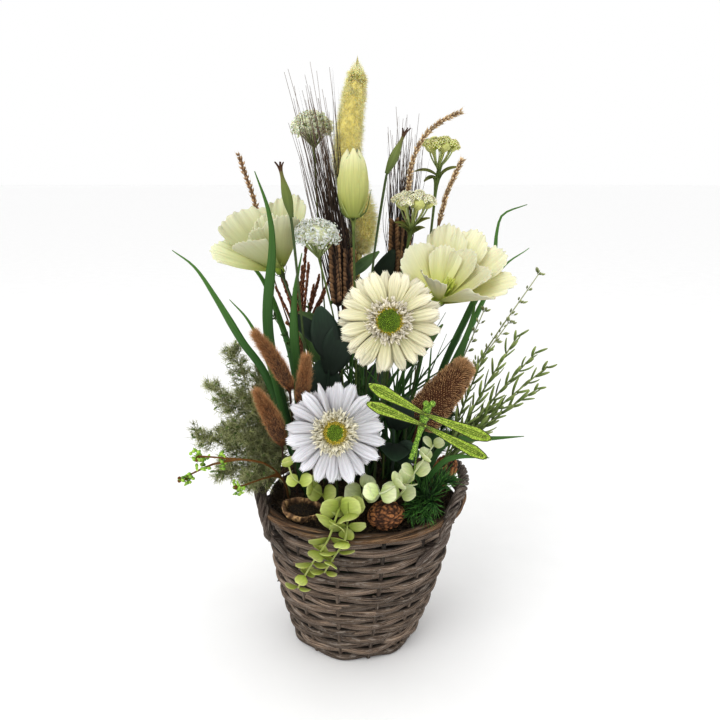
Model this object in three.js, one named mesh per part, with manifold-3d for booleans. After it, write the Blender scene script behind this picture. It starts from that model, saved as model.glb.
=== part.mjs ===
// A flower arrangement of silk and dried stems, standing in a round willow basket with two ear handles.
// Millimetres, +Z up. The origin is the middle of the basket's underside, and the arrangement faces -Y.
// Every plant is rooted in a block of floral foam through a bed of moss. Each stem, bloom, head, spray or
// clump is one closed solid, and whatever would cross a neighbour is turned or bowed until it is clear.

import * as THREE from "three";
import { mergeVertices } from "three/addons/utils/BufferGeometryUtils.js";
import Module from "manifold-3d";

const wasm = await Module();
wasm.setup();

// ---- Driving dimensions -------------------------------------------------------------------------

const GAP = 0.35; // between neighbouring pieces
const BASKET = { height: 162, foot: 70, mouth: 107, wall: 7, lean: 7, stakes: 14, rows: 17 };
const WEAVE = { bulge: 1.6, sway: 2.8 }; // a weaver's crest, and how far it swings round each stake
const BASE = { top: 6.6, weave: 4, stick: 3 };
const RIM = { radius: 110, width: 6.5, height: 5, sunk: 0.92 }; // its underside hangs 0.92 heights down
const EAR = { reach: 43, rise: 22, rope: 6.2, turn: -5 }; // degrees either way, mm, mm, degrees
const FOAM_TOP = 128;
const MOSS = { radius: 95, edge: 164, crown: 170 };
const ROOT = 114; // the height at which long stems end in the foam
const PICK = 136; // the height at which short picks end in the moss
const SOIL = 176; // stems rise straight to here

// ---- Vectors, chance and materials --------------------------------------------------------------

const V = (x, y, z) => new THREE.Vector3(x, y, z);
const UP = V(0, 0, 1);
const rad = THREE.MathUtils.degToRad;

function seeded(seed) {
  let state = seed >>> 0;
  return (low = 0, high = 1) => {
    state = (state * 1664525 + 1013904223) >>> 0;
    return low + ((high - low) * state) / 2 ** 32;
  };
}

const finish = (color, roughness = 0.8) =>
  new THREE.MeshStandardMaterial({ color, roughness, metalness: 0 });
const WILLOW = finish(0x6b5a4b, 0.85);
const MOSS_BROWN = finish(0x3c3226, 0.95);
const FOAM_GREEN = finish(0x4f6142, 0.95);
const CREAM = finish(0xefeecb, 0.6);
const WHITE = finish(0xe6e4e4, 0.65);
const PALE_DISC = finish(0xe4e3b4, 0.8);
const STEM_GREEN = finish(0x5d7a34, 0.6);
const BUD_GREEN = finish(0xd3dda0, 0.6);
const GRASS_GREEN = finish(0x2f6a2c, 0.5);
const LEAF_DARK = finish(0x22402c, 0.5);
const STRAW_GOLD = finish(0xd9c878, 0.9);
const WHEAT_BROWN = finish(0x5f4a38, 0.8);
const EAR_BROWN = finish(0x8f6e4c, 0.85);
const FLORET_WHITE = finish(0xdfe5d0, 0.8);
const FLORET_GREEN = finish(0xc6cc8c, 0.8);
const TWIG_RED = finish(0x6d4130, 0.8);
const TAIL_BROWN = finish(0x8f6240, 0.95);
const SAGE = finish(0x7f8c66, 0.85);
const BERRY_GREEN = finish(0x7ea13c, 0.6);
const EUCALYPTUS = finish(0xb9c777, 0.6);
const CONE_BROWN = finish(0x8c5d3e, 0.95);
const GLITTER_GREEN = finish(0x9fbe3a, 0.35);
const NEEDLE_GREEN = finish(0x3f6a2a, 0.6);
const SHELL_BROWN = finish(0x94552f, 0.85);
const BARK = finish(0x86694a, 0.9);

// ---- Closed meshes ------------------------------------------------------------------------------

// A three.js geometry as a solid that booleans can join and cut.
function solid(geometry, matrix) {
  const bare = new THREE.BufferGeometry();
  bare.setAttribute("position", geometry.getAttribute("position").clone());
  if (geometry.index) bare.setIndex(geometry.index);
  if (matrix) bare.applyMatrix4(matrix);
  const merged = mergeVertices(bare, 1e-4);
  const made = new wasm.Manifold(
    new wasm.Mesh({
      numProp: 3,
      vertProperties: merged.attributes.position.array,
      triVerts: new Uint32Array(merged.index.array),
    }),
  );
  return made;
}

// A geometry of points and triangles, turned to face outward.
function closed(points, faces) {
  let volume = 0;
  for (const [a, b, c] of faces)
    volume += points[a].dot(V(0, 0, 0).crossVectors(points[b], points[c]));
  const outward = volume < 0 ? faces.map(([a, b, c]) => [a, c, b]) : faces;
  const geometry = new THREE.BufferGeometry().setFromPoints(points);
  return geometry.setIndex(outward.flat());
}

// Rings of points joined side by side. Each end closes on its own point, or flat where it has none.
function loft(rings, start, end, flip = () => false) {
  const n = rings[0].length;
  const points = rings.flat();
  const faces = [];
  for (let i = 0; i + 1 < rings.length; i++)
    for (let j = 0; j < n; j++) {
      const a = i * n + j;
      const b = i * n + ((j + 1) % n);
      if (flip(i, j)) faces.push([a, b, a + n], [b, b + n, a + n]);
      else faces.push([a, b, b + n], [a, b + n, a + n]);
    }
  const last = (rings.length - 1) * n;
  const cap = (first, tip, side) => {
    if (tip) {
      const at = points.push(tip) - 1;
      for (let j = 0; j < n; j++) {
        const pair = [first + j, first + ((j + 1) % n)];
        faces.push(side ? [at, ...pair] : [at, pair[1], pair[0]]);
      }
    } else
      for (let j = 1; j + 1 < n; j++) {
        const pair = [first + j, first + j + 1];
        faces.push(side ? [first, ...pair] : [first, pair[1], pair[0]]);
      }
  };
  cap(0, start, false);
  cap(last, end, true);
  return closed(points, faces);
}

// Closed profiles set round an axis and joined into a hoop.
function hoop(profiles) {
  const n = profiles[0].length;
  const points = profiles.flat();
  const faces = [];
  profiles.forEach((_, i) => {
    const next = ((i + 1) % profiles.length) * n;
    for (let j = 0; j < n; j++) {
      const k = (j + 1) % n;
      faces.push([i * n + j, next + j, next + k], [i * n + j, next + k, i * n + k]);
    }
  });
  return closed(points, faces);
}

const along = (value, share) => (typeof value === "function" ? value(share) : value);

// Places along a curve, each with two directions across it that turn no more than the curve makes them.
function stations(curve, shares) {
  const first = curve.getTangentAt(shares[0]);
  let across = Math.abs(first.x) > 0.8 ? V(0, 1, 0) : V(1, 0, 0);
  return shares.map((t) => {
    const tangent = curve.getTangentAt(t);
    across = across.clone().addScaledVector(tangent, -across.dot(tangent)).normalize();
    return { t, centre: curve.getPointAt(t), tangent, across, other: tangent.clone().cross(across) };
  });
}

const ringAt = ({ centre, across, other }, radius, sides, turn = 0) =>
  Array.from({ length: sides }, (_, j) => {
    const angle = (2 * Math.PI * j) / sides + turn;
    const r = along(radius, j);
    return centre
      .clone()
      .addScaledVector(across, r * Math.cos(angle))
      .addScaledVector(other, r * Math.sin(angle));
  });

const evenly = (from, to, steps) =>
  Array.from({ length: steps + 1 }, (_, i) => (i === steps ? to : from + ((to - from) * i) / steps));

// A stem through the points, whose radius may change along the way.
function rod(points, radius, sides = 4, steps = 4) {
  const curve = new THREE.CatmullRomCurve3(points);
  return loft(stations(curve, evenly(0, 1, steps)).map((s) => ringAt(s, along(radius, s.t), sides)));
}

// A needle: three-sided, from a root sunk in what carries it to a point.
function needle(root, tip, radius) {
  const [base] = stations(new THREE.LineCurve3(root, tip), [0]);
  return loft([ringAt(base, radius, 3)], null, tip.clone());
}

// A leaf or petal along a curve: thin at its edges and `thick` at its rib, which may stand proud.
function blade(points, half, { thick = 0.9, fold = 0, up = UP, at = [0.25, 0.6, 0.88], twist = 0 } = {}) {
  const curve = new THREE.CatmullRomCurve3(points);
  const rings = at.map((t) => {
    const centre = curve.getPointAt(t);
    const tangent = curve.getTangentAt(t);
    const side = V(0, 0, 0).crossVectors(tangent, up).normalize();
    side.applyAxisAngle(tangent, twist * t);
    const face = V(0, 0, 0).crossVectors(side, tangent);
    const w = along(half, t);
    const rib = (offset) => centre.clone().addScaledVector(face, fold * w + offset);
    return [
      centre.clone().addScaledVector(side, -w),
      rib(thick / 2),
      centre.clone().addScaledVector(side, w),
      rib(-thick / 2),
    ];
  });
  return loft(rings, curve.getPointAt(0), curve.getPointAt(1));
}

// A waved sheet of even thickness through a grid of points, split into triangles alike on both faces.
function sheet(grid, thick) {
  const rows = grid.length;
  const columns = grid[0].length;
  const normal = (i, j) => {
    const lengthwise = grid[Math.min(i + 1, rows - 1)][j].clone().sub(grid[Math.max(i - 1, 0)][j]);
    const across = grid[i][Math.min(j + 1, columns - 1)].clone().sub(grid[i][Math.max(j - 1, 0)]);
    return lengthwise.cross(across).normalize();
  };
  const face = (offset) =>
    grid.flatMap((row, i) => row.map((p, j) => p.clone().addScaledVector(normal(i, j), offset)));
  const points = [...face(thick / 2), ...face(-thick / 2)];
  const back = rows * columns;
  const faces = [];
  for (let i = 0; i + 1 < rows; i++)
    for (let j = 0; j + 1 < columns; j++) {
      const a = i * columns + j;
      const [b, c, d] = [a + 1, a + columns, a + columns + 1];
      faces.push([a, b, d], [a, d, c], [back + a, back + d, back + b], [back + a, back + c, back + d]);
    }
  const edge = [];
  for (let j = 0; j < columns; j++) edge.push(j);
  for (let i = 1; i < rows; i++) edge.push(i * columns + columns - 1);
  for (let j = columns - 2; j >= 0; j--) edge.push((rows - 1) * columns + j);
  for (let i = rows - 2; i > 0; i--) edge.push(i * columns);
  edge.forEach((a, k) => {
    const b = edge[(k + 1) % edge.length];
    faces.push([b, a, back + a], [b, back + a, back + b]);
  });
  return closed(points, faces);
}

// A head along a curve whose surface stands up in points: every other vertex is lifted and drawn tipward.
function bristled(points, radius, { around = 8, rings = 8, lift = 2, draw = 1.5 } = {}) {
  const curve = new THREE.CatmullRomCurve3(points);
  const made = stations(curve, evenly(0, 1, rings + 1).slice(1, -1)).map((s, i) => {
    const raised = (j) => (i + j) % 2 === 0;
    const ring = ringAt(s, (j) => along(radius, s.t) + (raised(j) ? along(lift, s.t) : 0), around);
    return ring.map((p, j) => (raised(j) ? p.addScaledVector(s.tangent, along(draw, s.t)) : p));
  });
  return loft(made, curve.getPoint(0), curve.getPoint(1), (i, j) => (i + j) % 2 === 0);
}

// The placement that turns local +Z to `towards`, about its own axis by `roll` degrees, at a point.
function facing(at, towards, roll = 0) {
  const turn = new THREE.Quaternion().setFromUnitVectors(UP, towards.clone().normalize());
  return new THREE.Matrix4()
    .makeRotationFromQuaternion(turn)
    .multiply(new THREE.Matrix4().makeRotationZ(rad(roll)))
    .setPosition(at);
}

// ---- Keeping clear ------------------------------------------------------------------------------

const nodes = []; // { name, material, solid, box }
const sleeves = []; // the holes that the stems need in the moss and the foam

const apart = (a, b) =>
  [0, 1, 2].some((k) => a.min[k] - GAP > b.max[k] || b.min[k] - GAP > a.max[k]);

function isClear(piece) {
  const box = piece.boundingBox();
  return nodes.every((n) => apart(box, n.box) || n.solid.minGap(piece, GAP) >= GAP);
}

// The turns about its root that a piece tries, from none upward, until it is clear.
const TURNS = [[UP, 0]];
for (const angle of [9, 18, 30, 45])
  for (const axis of [V(0, 0, 1), V(1, 0, 0), V(0, 1, 0)])
    TURNS.push([axis, rad(angle)], [axis, rad(-angle)]);

function turnedClear(geometry, root) {
  for (const [axis, angle] of TURNS) {
    const matrix = new THREE.Matrix4()
      .makeTranslation(root.x, root.y, root.z)
      .multiply(new THREE.Matrix4().makeRotationAxis(axis, angle))
      .multiply(new THREE.Matrix4().makeTranslation(-root.x, -root.y, -root.z));
    const piece = solid(geometry, angle ? matrix : null);
    if (isClear(piece)) return piece;
  }
  return null;
}

const leftOut = []; // what could not be set clear
const SHORT = 110; // a stem with less than this above the moss is a pick

// A stem is bowed sideways, between its two ends, until it is clear of what stands already.
const BOWS = [[0, 0]];
for (const reach of [3, 6, 10, 15, 21])
  for (let k = 0; k < 8; k++)
    BOWS.push([reach * Math.cos((k * Math.PI) / 4), reach * Math.sin((k * Math.PI) / 4)]);

// A stem's rings: one at its root in the foam, one where it leaves the moss, the rest up its curve.
function stemBody(points, radius, sides, steps) {
  const [soil] = points;
  const below = V(soil.x, soil.y, SOIL - 24);
  const curve = new THREE.CatmullRomCurve3([below, ...points]);
  const start = 24 / curve.getLength();
  const above = stations(curve, evenly(start, 1, steps));
  const upright = { centre: soil, across: V(1, 0, 0), other: V(0, 1, 0) };
  const rings = above.map((s, i) => ringAt(i ? s : upright, along(radius, i / steps), sides));
  const end = curve.getLength() > 24 + SHORT ? ROOT : PICK;
  const foot = rings[0].map((p) => p.clone().setZ(end));
  const centres = above.map((s, i) => (i ? s.centre : soil));
  return { curve, start, end, centres, above: loft(rings), whole: loft([foot, ...rings]) };
}

// A rooted stem: straight through the moss, then along its points. It leaves a sleeve for its hole.
function rooted(name, [x, y], rest, radius, { sides = 4, steps = 4 } = {}) {
  const soil = V(x, y, SOIL);
  const inner = rest.length > 1 ? rest : [soil.clone().lerp(rest[0], 0.5), ...rest];
  const line = [soil, ...inner];
  const bend = ([bx, by]) =>
    line.map((p, i) => {
      const share = Math.sin((Math.PI * i) / (line.length - 1));
      return p.clone().add(V(bx * share, by * share, 0));
    });
  const clear = (bow) => isClear(solid(stemBody(bend(bow), radius, sides, steps).above));
  const bow = BOWS.find(clear);
  if (!bow) leftOut.push(name + ": its stem has no clear way");
  const made = stemBody(bend(bow ?? BOWS[0]), radius, sides, steps);
  const room = along(radius, 0) * (sides === 4 ? 1 : 1.4) + 0.6;
  sleeves.push(solid(rod([V(x, y, made.end - 1), V(x, y, SOIL + 8)], room, 4, 1)));
  const at = (share) => {
    const i = Math.min(steps - 1, Math.floor(share * steps));
    return made.centres[i].clone().lerp(made.centres[i + 1], share * steps - i);
  };
  const way = (share) => made.curve.getTangentAt(Math.min(1, made.start + (1 - made.start) * share));
  return { geometry: made.whole, at, way };
}

// Everything that touches becomes one body; a scrap that hangs on nothing is dropped.
function join(solids, name = "") {
  const whole = wasm.Manifold.union(solids);
  const bodies = whole.decompose().sort((a, b) => b.volume() - a.volume());
  const scraps = bodies.slice(1).filter((b) => b.volume() > 3);
  if (scraps.length) leftOut.push(`${name}: ${scraps.length} loose`);
  return bodies[0];
}

// One node: its main solids, and the repeats that grow from them, each of which has to be clear.
function node(name, material, mains, repeats = [], minimum = 0) {
  const kept = repeats.map(([geometry, root]) => turnedClear(geometry, root)).filter(Boolean);
  if (kept.length < minimum) leftOut.push(`${name}: ${repeats.length - kept.length} repeats`);
  const made = join([...mains.map((m) => (m.isBufferGeometry ? solid(m) : m)), ...kept], name);
  const box = made.boundingBox();
  for (const other of nodes) {
    if (apart(box, other.box) || other.name === "moss_bed") continue;
    const room = other.solid.minGap(made, 1);
    if (room < 0.25) leftOut.push(`${name} to ${other.name}: ${room.toFixed(2)}`);
  }
  nodes.push({ name, material, solid: made, box });
  return made;
}

// ---- Basket -------------------------------------------------------------------------------------

const axisX = (z) => (BASKET.lean * z) / BASKET.height;
const wallRadius = (z) => {
  const t = z / BASKET.height;
  return BASKET.foot + (BASKET.mouth - BASKET.foot) * (t + 0.16 * Math.sin(Math.PI * t)) - 2;
};

// The wall: each row swings out before one stake and in before the next, one row against the other.
function basketWall() {
  const pitch = BASKET.height / BASKET.rows;
  const samples = BASKET.stakes * 2;
  const profiles = Array.from({ length: samples }, (_, k) => {
    const angle = (2 * Math.PI * k) / samples;
    const at = (r, z) => V(axisX(z) + r * Math.cos(angle), r * Math.sin(angle), z);
    const profile = [at(wallRadius(0), 0)];
    for (let row = 0; row < BASKET.rows; row++) {
      const crest = (row + 0.5) * pitch;
      const swing = WEAVE.sway * Math.cos((Math.PI * k) / 2 + Math.PI * row);
      profile.push(at(wallRadius(crest) + WEAVE.bulge + swing, crest));
    }
    profile.push(at(wallRadius(BASKET.height) + 4, BASKET.height)); // the border lies on this edge
    for (const z of [BASKET.height, BASKET.height / 2, 0])
      profile.push(at(wallRadius(z) - BASKET.wall, z));
    return profile;
  });
  return hoop(profiles);
}

// Two border rods lie over the wall's top edge, rolled round each other.
function basketRim() {
  const samples = BASKET.stakes * 2;
  return hoop(
    Array.from({ length: samples }, (_, k) => {
      const angle = (2 * Math.PI * k) / samples;
      return Array.from({ length: 5 }, (_, j) => {
        const round = (2 * Math.PI * j) / 5 + 0.3;
        const swell = 1 + 0.12 * Math.cos(2 * round + k * 1.3);
        const r = RIM.radius + RIM.width * swell * Math.cos(round);
        const z = BASKET.height + GAP + RIM.height * (RIM.sunk + swell * Math.sin(round));
        return V(axisX(BASKET.height) + r * Math.cos(angle), r * Math.sin(angle), z);
      });
    }),
  );
}

// The line of an ear: out of the border's outer side, up over the rim in an arch, and down again.
function earPath(middle) {
  return evenly(-1, 1, 8).map((share) => {
    const angle = rad(middle + EAR.reach * share);
    const arch = Math.cos((share * Math.PI) / 2);
    const r = RIM.radius + 9.5 - 6.5 * arch ** 0.5;
    const z = BASKET.height - 12 + (EAR.rise + 16) * Math.min(1, 1.15 * arch ** 0.6);
    return V(axisX(BASKET.height) + r * Math.cos(angle), r * Math.sin(angle), z);
  });
}

// An ear is a rope of three rods twisted together.
function ear(middle) {
  const curve = new THREE.CatmullRomCurve3(earPath(middle));
  const steps = 16;
  const rings = stations(curve, evenly(0, 1, steps)).map((s, i) => {
    const taper = Math.min(1, 0.45 + (3 * Math.min(i, steps - i)) / steps);
    return ringAt(s, (j) => EAR.rope * taper * (j % 2 ? 0.84 : 1.12), 6, i * 0.6);
  });
  return loft(rings);
}

// The room an ear needs where it passes the border and the wall: a plain rod round its rope.
function earRoom(middle, from, to) {
  const path = earPath(middle).slice(from, to);
  return solid(rod(path, EAR.rope + 2.4 * GAP, 7, 3));
}

// The woven bottom: a disc inside the wall's foot, with the crossed sticks it is woven on. The sticks'
// flat undersides meet at the origin.
function basketBase() {
  const r = wallRadius(0) - BASKET.wall - 0.6;
  const lie = new THREE.Matrix4().makeRotationX(Math.PI / 2).setPosition(0, 0, BASE.top - BASE.weave / 2);
  const parts = [solid(new THREE.CylinderGeometry(r, r, BASE.weave, BASKET.stakes), lie)];
  for (let k = 0; k < 2; k++) {
    const stick = new THREE.BoxGeometry(2 * r - 4, 9, BASE.stick);
    const across = new THREE.Matrix4().makeRotationZ((k * Math.PI) / 2).setPosition(0, 0, BASE.stick / 2);
    parts.push(solid(stick, across));
  }
  return join(parts);
}

const EARS = [EAR.turn, 180 + EAR.turn];
node("basket_ear_right", WILLOW, [ear(EARS[0])]);
node("basket_ear_left", WILLOW, [ear(EARS[1])]);
const aroundEars = (body) =>
  EARS.reduce(
    (left, middle) => left.subtract(earRoom(middle, 0, 3)).subtract(earRoom(middle, 6, 9)),
    solid(body),
  );
node("basket_rim", WILLOW, [aroundEars(basketRim())]);
node("basket_wall", WILLOW, [aroundEars(basketWall())]);
node("basket_base", WILLOW, [basketBase()]);

// ---- Filling ------------------------------------------------------------------------------------

// The moss: a lumpy mound over the foam, whose flat underside lies on it.
function mossMound() {
  const chance = seeded(11);
  const sides = 16;
  const ring = (share, z, rough) =>
    Array.from({ length: sides }, (_, j) => {
      const angle = (2 * Math.PI * j) / sides;
      const r = MOSS.radius * share * (1 - chance(0, 0.02));
      return V(6 + r * Math.cos(angle), r * Math.sin(angle), z + chance(-rough, rough));
    });
  const rings = [
    ring(0.92, FOAM_TOP + GAP, 0),
    ring(1, MOSS.edge, 1),
    ring(0.8, MOSS.crown, 1.5),
    ring(0.4, MOSS.crown + 1, 2),
  ];
  return solid(loft(rings, V(6, 0, FOAM_TOP + GAP), V(6, 0, MOSS.crown)));
}

// The foam: a plain tapered plug between the basket's base and the moss.
function foamBlock() {
  const foot = BASKET.foot - BASKET.wall - 5;
  const top = wallRadius(FOAM_TOP) - BASKET.wall - 2.5;
  const ring = (r, z) =>
    Array.from({ length: 12 }, (_, j) => {
      const angle = (2 * Math.PI * j) / 12;
      return V(axisX(z) + r * Math.cos(angle), r * Math.sin(angle), z);
    });
  return solid(loft([ring(foot, BASE.top + GAP), ring(top, FOAM_TOP)]));
}

const seats = []; // the hollows in the moss for what lies on it
const mound = mossMound();
nodes.push({ name: "moss_bed", material: MOSS_BROWN, solid: mound, box: mound.boundingBox() });

// ---- Stones and shell cup, which lie in the moss ------------------------------------------------

// A piece that lies in the moss: the moss is hollowed under it by a coarser and slightly larger copy.
function bedded(name, material, geometry, hollow) {
  const made = solid(geometry);
  nodes.push({ name, material, solid: made, box: made.boundingBox() });
  seats.push(solid(hollow));
}

// A furrowed fruit stone, longer one way and pointed at its end.
function fruitStone(at, towards, [length, radius], extra = 0) {
  const way = towards.clone().normalize();
  const half = (length + extra) / 2;
  const ends = [at.clone().addScaledVector(way, -half), at.clone().addScaledVector(way, half)];
  const swell = (t) => (radius + extra) * Math.sin(Math.PI * (0.07 + 0.86 * t)) ** 0.62;
  return bristled(ends, swell, { around: 10, rings: 6, lift: 1.1, draw: 0.8 });
}

const frontStone = [V(32, -84, 180), V(1, 0.15, 0.1), [36, 14.5]];
bedded("fruit_stone_front", SHELL_BROWN, fruitStone(...frontStone), fruitStone(...frontStone, 0.5));
const husk = V(96, -26, 203);
const huskPick = rooted("fruit_husk_right", [74, -20], [V(82, -20, 190), husk], 1.1, { steps: 3 });
const huskBody = fruitStone(husk, V(0.5, 0.4, 0.75), [36, 11]);
node("fruit_husk_right", SHELL_BROWN, [huskPick.geometry, huskBody]);

// Half of a bark-like shell, lying open side up, and the moss that fills it.
function shellCup(at, towards) {
  const place = facing(at, towards);
  const long = 23;
  const broad = 15;
  const oval = (share, z, rough = 0, chance = () => 0) =>
    Array.from({ length: 10 }, (_, j) => {
      const a = (2 * Math.PI * j) / 10;
      const p = V(long * share * Math.cos(a), broad * share * Math.sin(a), z + chance(-rough, rough));
      return p.applyMatrix4(place);
    });
  const tip = (z) => V(0, 0, z).applyMatrix4(place);
  const shell = loft(
    [oval(0.55, -12), oval(0.88, -7), oval(1, 0), oval(0.86, 0), oval(0.74, -6), oval(0.45, -9.6)],
    tip(-14), tip(-11),
  );
  const room = loft([oval(0.59, -12.5), oval(0.92, -7.3), oval(1.06, 4)], tip(-14.5), tip(5));
  bedded("shell_cup", BARK, shell, room);
  const chance = seeded(91);
  const fill = loft(
    [oval(0.36, -8.8), oval(0.62, -5.4), oval(0.7, -2, 1, chance), oval(0.36, -0.5, 1, chance)],
    tip(-10.4), tip(0.5),
  );
  node("shell_cup_moss", MOSS_BROWN, [fill]);
}

shellCup(V(-52, -67, 179.5), V(0.12, -0.25, 0.95));

// ---- Gerberas -----------------------------------------------------------------------------------

// Two rows of ray petals round one hub. Each petal widens from the hub to its shoulders, with a raised
// rib; the front row is a little shorter and lies over the gaps of the row behind it.
function rayPetals(place, { petals, hub, radius }, chance) {
  const points = [V(0, 0, 3), V(0, 0, -3)];
  const faces = [];
  const rims = [0, 1].map((row) => {
    const level = row ? 1.2 : -1.2;
    const rim = []; // [point, angle] round the hub, on the side that faces the other row
    for (let k = 0; k < petals; k++) {
      const angle = (2 * Math.PI * (k + row / 2)) / petals;
      const half = (Math.PI * 0.94) / petals;
      const reach = radius * (row ? 0.93 : 1) * chance(0.95, 1.02);
      const droop = chance(-2.5, 1);
      const at = (r, turn, z) => V(r * Math.cos(angle + turn), r * Math.sin(angle + turn), level + z);
      const ring = (r, w, z) => [at(r, -w, z), at(r, 0, z + 0.45), at(r, w, z), at(r, 0, z - 0.7)];
      const first = points.length;
      points.push(...ring(hub, half, 0));
      points.push(...ring(reach * 0.84, half * 0.86, 1.2 + droop * 0.6));
      points.push(at(reach, 0, droop));
      const next = k + 1 < petals ? first + 9 : first - 9 * (petals - 1);
      const [left, top, right, under] = [first, first + 1, first + 2, first + 3];
      if (row) faces.push([0, left, top], [0, top, right], [0, right, next]);
      else faces.push([1, under, left], [1, right, under], [1, next, right]);
      rim.push([left, angle - half], [row ? under : top, angle], [right, angle + half]);
      for (let j = 0; j < 4; j++) {
        const from = first + j;
        const to = first + ((j + 1) % 4);
        faces.push([from, from + 4, to + 4], [from, to + 4, to], [from + 4, first + 8, to + 4]);
      }
    }
    return rim;
  });
  const [low, high] = rims;
  const turn = (rim, i) => rim[i % rim.length][1] + (i >= rim.length ? 2 * Math.PI : 0);
  for (let i = 0, j = 0; i < low.length || j < high.length; ) {
    const a = low[i % low.length][0];
    const b = high[j % high.length][0];
    const stepLow = j >= high.length || (i < low.length && turn(low, i + 1) <= turn(high, j + 1));
    if (stepLow) faces.push([a, low[++i % low.length][0], b]);
    else faces.push([a, high[++j % high.length][0], b]);
  }
  return closed(points.map((p) => p.applyMatrix4(place)), faces);
}

// Two rows of petals, a dome of small florets over them, and a stem with its calyx below.
function gerbera(name, at, towards, { radius, petals, color, root, via, seed }) {
  const chance = seeded(seed);
  const place = facing(at, towards);
  const normal = V(0, 0, 1).transformDirection(place);
  const raised = (z) => at.clone().addScaledVector(normal, z);
  node(name + "_petals", color, [rayPetals(place, { petals, hub: 11, radius }, chance)]);
  const peg = [[3.45, 4.5], [5.5, 4.5]].map(([z, r]) =>
    Array.from({ length: 6 }, (_, j) =>
      V(r * Math.cos((j * Math.PI) / 3), r * Math.sin((j * Math.PI) / 3), z).applyMatrix4(place)));
  const dome = bristled([raised(3.9), raised(9.5)], (t) => radius * 0.36 * Math.sqrt(1 - t * t),
    { around: 14, rings: 4, lift: 1.2, draw: 1.3 });
  node(name + "_disc", PALE_DISC, [loft(peg), dome]);
  const stem = rooted(name, root, [...via, raised(-9)], 1.9, { sides: 5, steps: 4 });
  const calyx = loft([[-11, 1.7], [-5.5, 5], [-3.4, 7]].map(([z, r]) =>
    Array.from({ length: 8 }, (_, j) =>
      V(r * Math.cos((j * Math.PI) / 4), r * Math.sin((j * Math.PI) / 4), z).applyMatrix4(place))));
  node(name + "_stem", STEM_GREEN, [stem.geometry, calyx]);
}

gerbera("gerbera_cream", V(34, -62, 373), V(-0.04, -0.97, 0.2), {
  radius: 53, petals: 20, color: CREAM, root: [20, -30], via: [V(24, -36, 240), V(33, -42, 340)], seed: 3,
});
gerbera("gerbera_white", V(-18, -92, 270), V(0.04, -0.94, 0.34), {
  radius: 51, petals: 18, color: WHITE, root: [-18, -46], via: [V(-18, -60, 225)], seed: 4,
});

// ---- Lisianthus ---------------------------------------------------------------------------------

// A petal from the bloom's base to its tip, as a sheet with ruffles. Its face looks towards `face`, its edges
// rise by `cup` and it bends back by `flare`.
function lisianthusPetal(base, normal, [tip, face, half, cup, flare, ruffle], phase) {
  const outward = tip.clone().sub(base);
  outward.addScaledVector(normal, -outward.dot(normal)).normalize();
  const root = base.clone().addScaledVector(outward, 3.2).addScaledVector(normal, 5);
  const span = tip.clone().sub(root);
  const length = span.length();
  const way = span.normalize();
  const side = way.clone().cross(face).normalize();
  const inner = side.clone().cross(way);
  const grid = evenly(0, 1, 3).map((v) => {
    const wide = half * (0.16 + 0.84 * v ** 0.75) * (1 - 0.12 * v ** 8);
    const bend = flare * length * (0.5 * Math.sin(Math.PI * v) + 0.8 * v ** 3);
    return evenly(-1, 1, 5).map((u, j) => {
      const ripple = ruffle * v * v * Math.cos(4.7 * j + phase);
      const lift = cup * half * u * u * v ** 0.7 - bend + ripple;
      return root.clone()
        .addScaledVector(way, length * v * (1 - 0.2 * v * u * u))
        .addScaledVector(side, wide * u)
        .addScaledVector(inner, lift);
    });
  });
  return sheet(grid, 0.8);
}

// The bloom: each petal is its tip, the way its face looks, half its width, its edges' rise, its flare and
// the height of its ruffles.
function lisianthus(name, base, { petals, root, via, seed }) {
  const chance = seeded(seed);
  const normal = V(0, 0, 0);
  for (const [tip] of petals) normal.add(tip.clone().sub(base).normalize());
  normal.normalize();
  const place = facing(base, normal);
  const cup = rod([base.clone(), base.clone().addScaledVector(normal, 12)], (t) => 4.6 + 1.5 * t, 6, 1);
  const sheets = petals.map((petal) => lisianthusPetal(base, normal, petal, chance(0, 6)));
  node(name + "_bloom", CREAM, [cup, ...sheets]);
  const calyx = base.clone().addScaledVector(normal, -8);
  const stem = rooted(name, root, [...via, calyx], 1.6);
  const out = (angle, r, z) => V(r * Math.cos(angle), r * Math.sin(angle), z).applyMatrix4(place);
  const sepals = [0.4, 2, 3.5, 5.1].map((angle) => {
    const line = [out(angle, 1, -6), out(angle, 6.6, -1), out(angle, 9.5, 9)];
    return [blade(line, 1.7, { at: [0.55], thick: 1, up: normal }), line[0]];
  });
  const under = rod([calyx, base.clone().addScaledVector(normal, -GAP - 0.2)], (t) => 1.7 + 2.4 * t, 6, 1);
  node(name + "_stem", STEM_GREEN, [stem.geometry, under], sepals);
}

lisianthus("lisianthus_right", V(90, 30, 373), {
  petals: [
    [V(60, 22, 436), V(0.5, -0.8, 0.3), 31, 0.2, 0.08, 2],
    [V(104, 54, 458), V(0, -0.85, 0.4), 25, 0.2, 0.08, 3],
    [V(134, 50, 452), V(-0.3, -0.8, 0.4), 24, 0.2, 0.08, 3],
    [V(158, 34, 434), V(-0.4, -0.6, 0.6), 26, 0.2, 0.1, 2.6],
    [V(168, 8, 406), V(-0.2, -0.5, 0.8), 22, 0.25, 0.08, 2.2],
    [V(138, -24, 392), V(-0.1, 0.5, 0.85), 24, 0.3, 0.06, 1.4],
    [V(76, -8, 410), V(0.7, 0.5, 0.5), 20, 0.4, 0.06, 1.2],
    [V(140, 6, 414), V(-0.3, -0.45, 0.8), 20, 0.4, 0.1, 2.2],
    [V(99, 34, 436), V(0.1, -0.9, 0.3), 20, 0.5, 0.1, 2.4],
    [V(124, 26, 432), V(-0.4, -0.8, 0.3), 18, 0.5, 0.1, 2.4],
  ],
  root: [52, -4], via: [V(58, 0, 260), V(76, 20, 335)], seed: 21,
});
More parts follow.
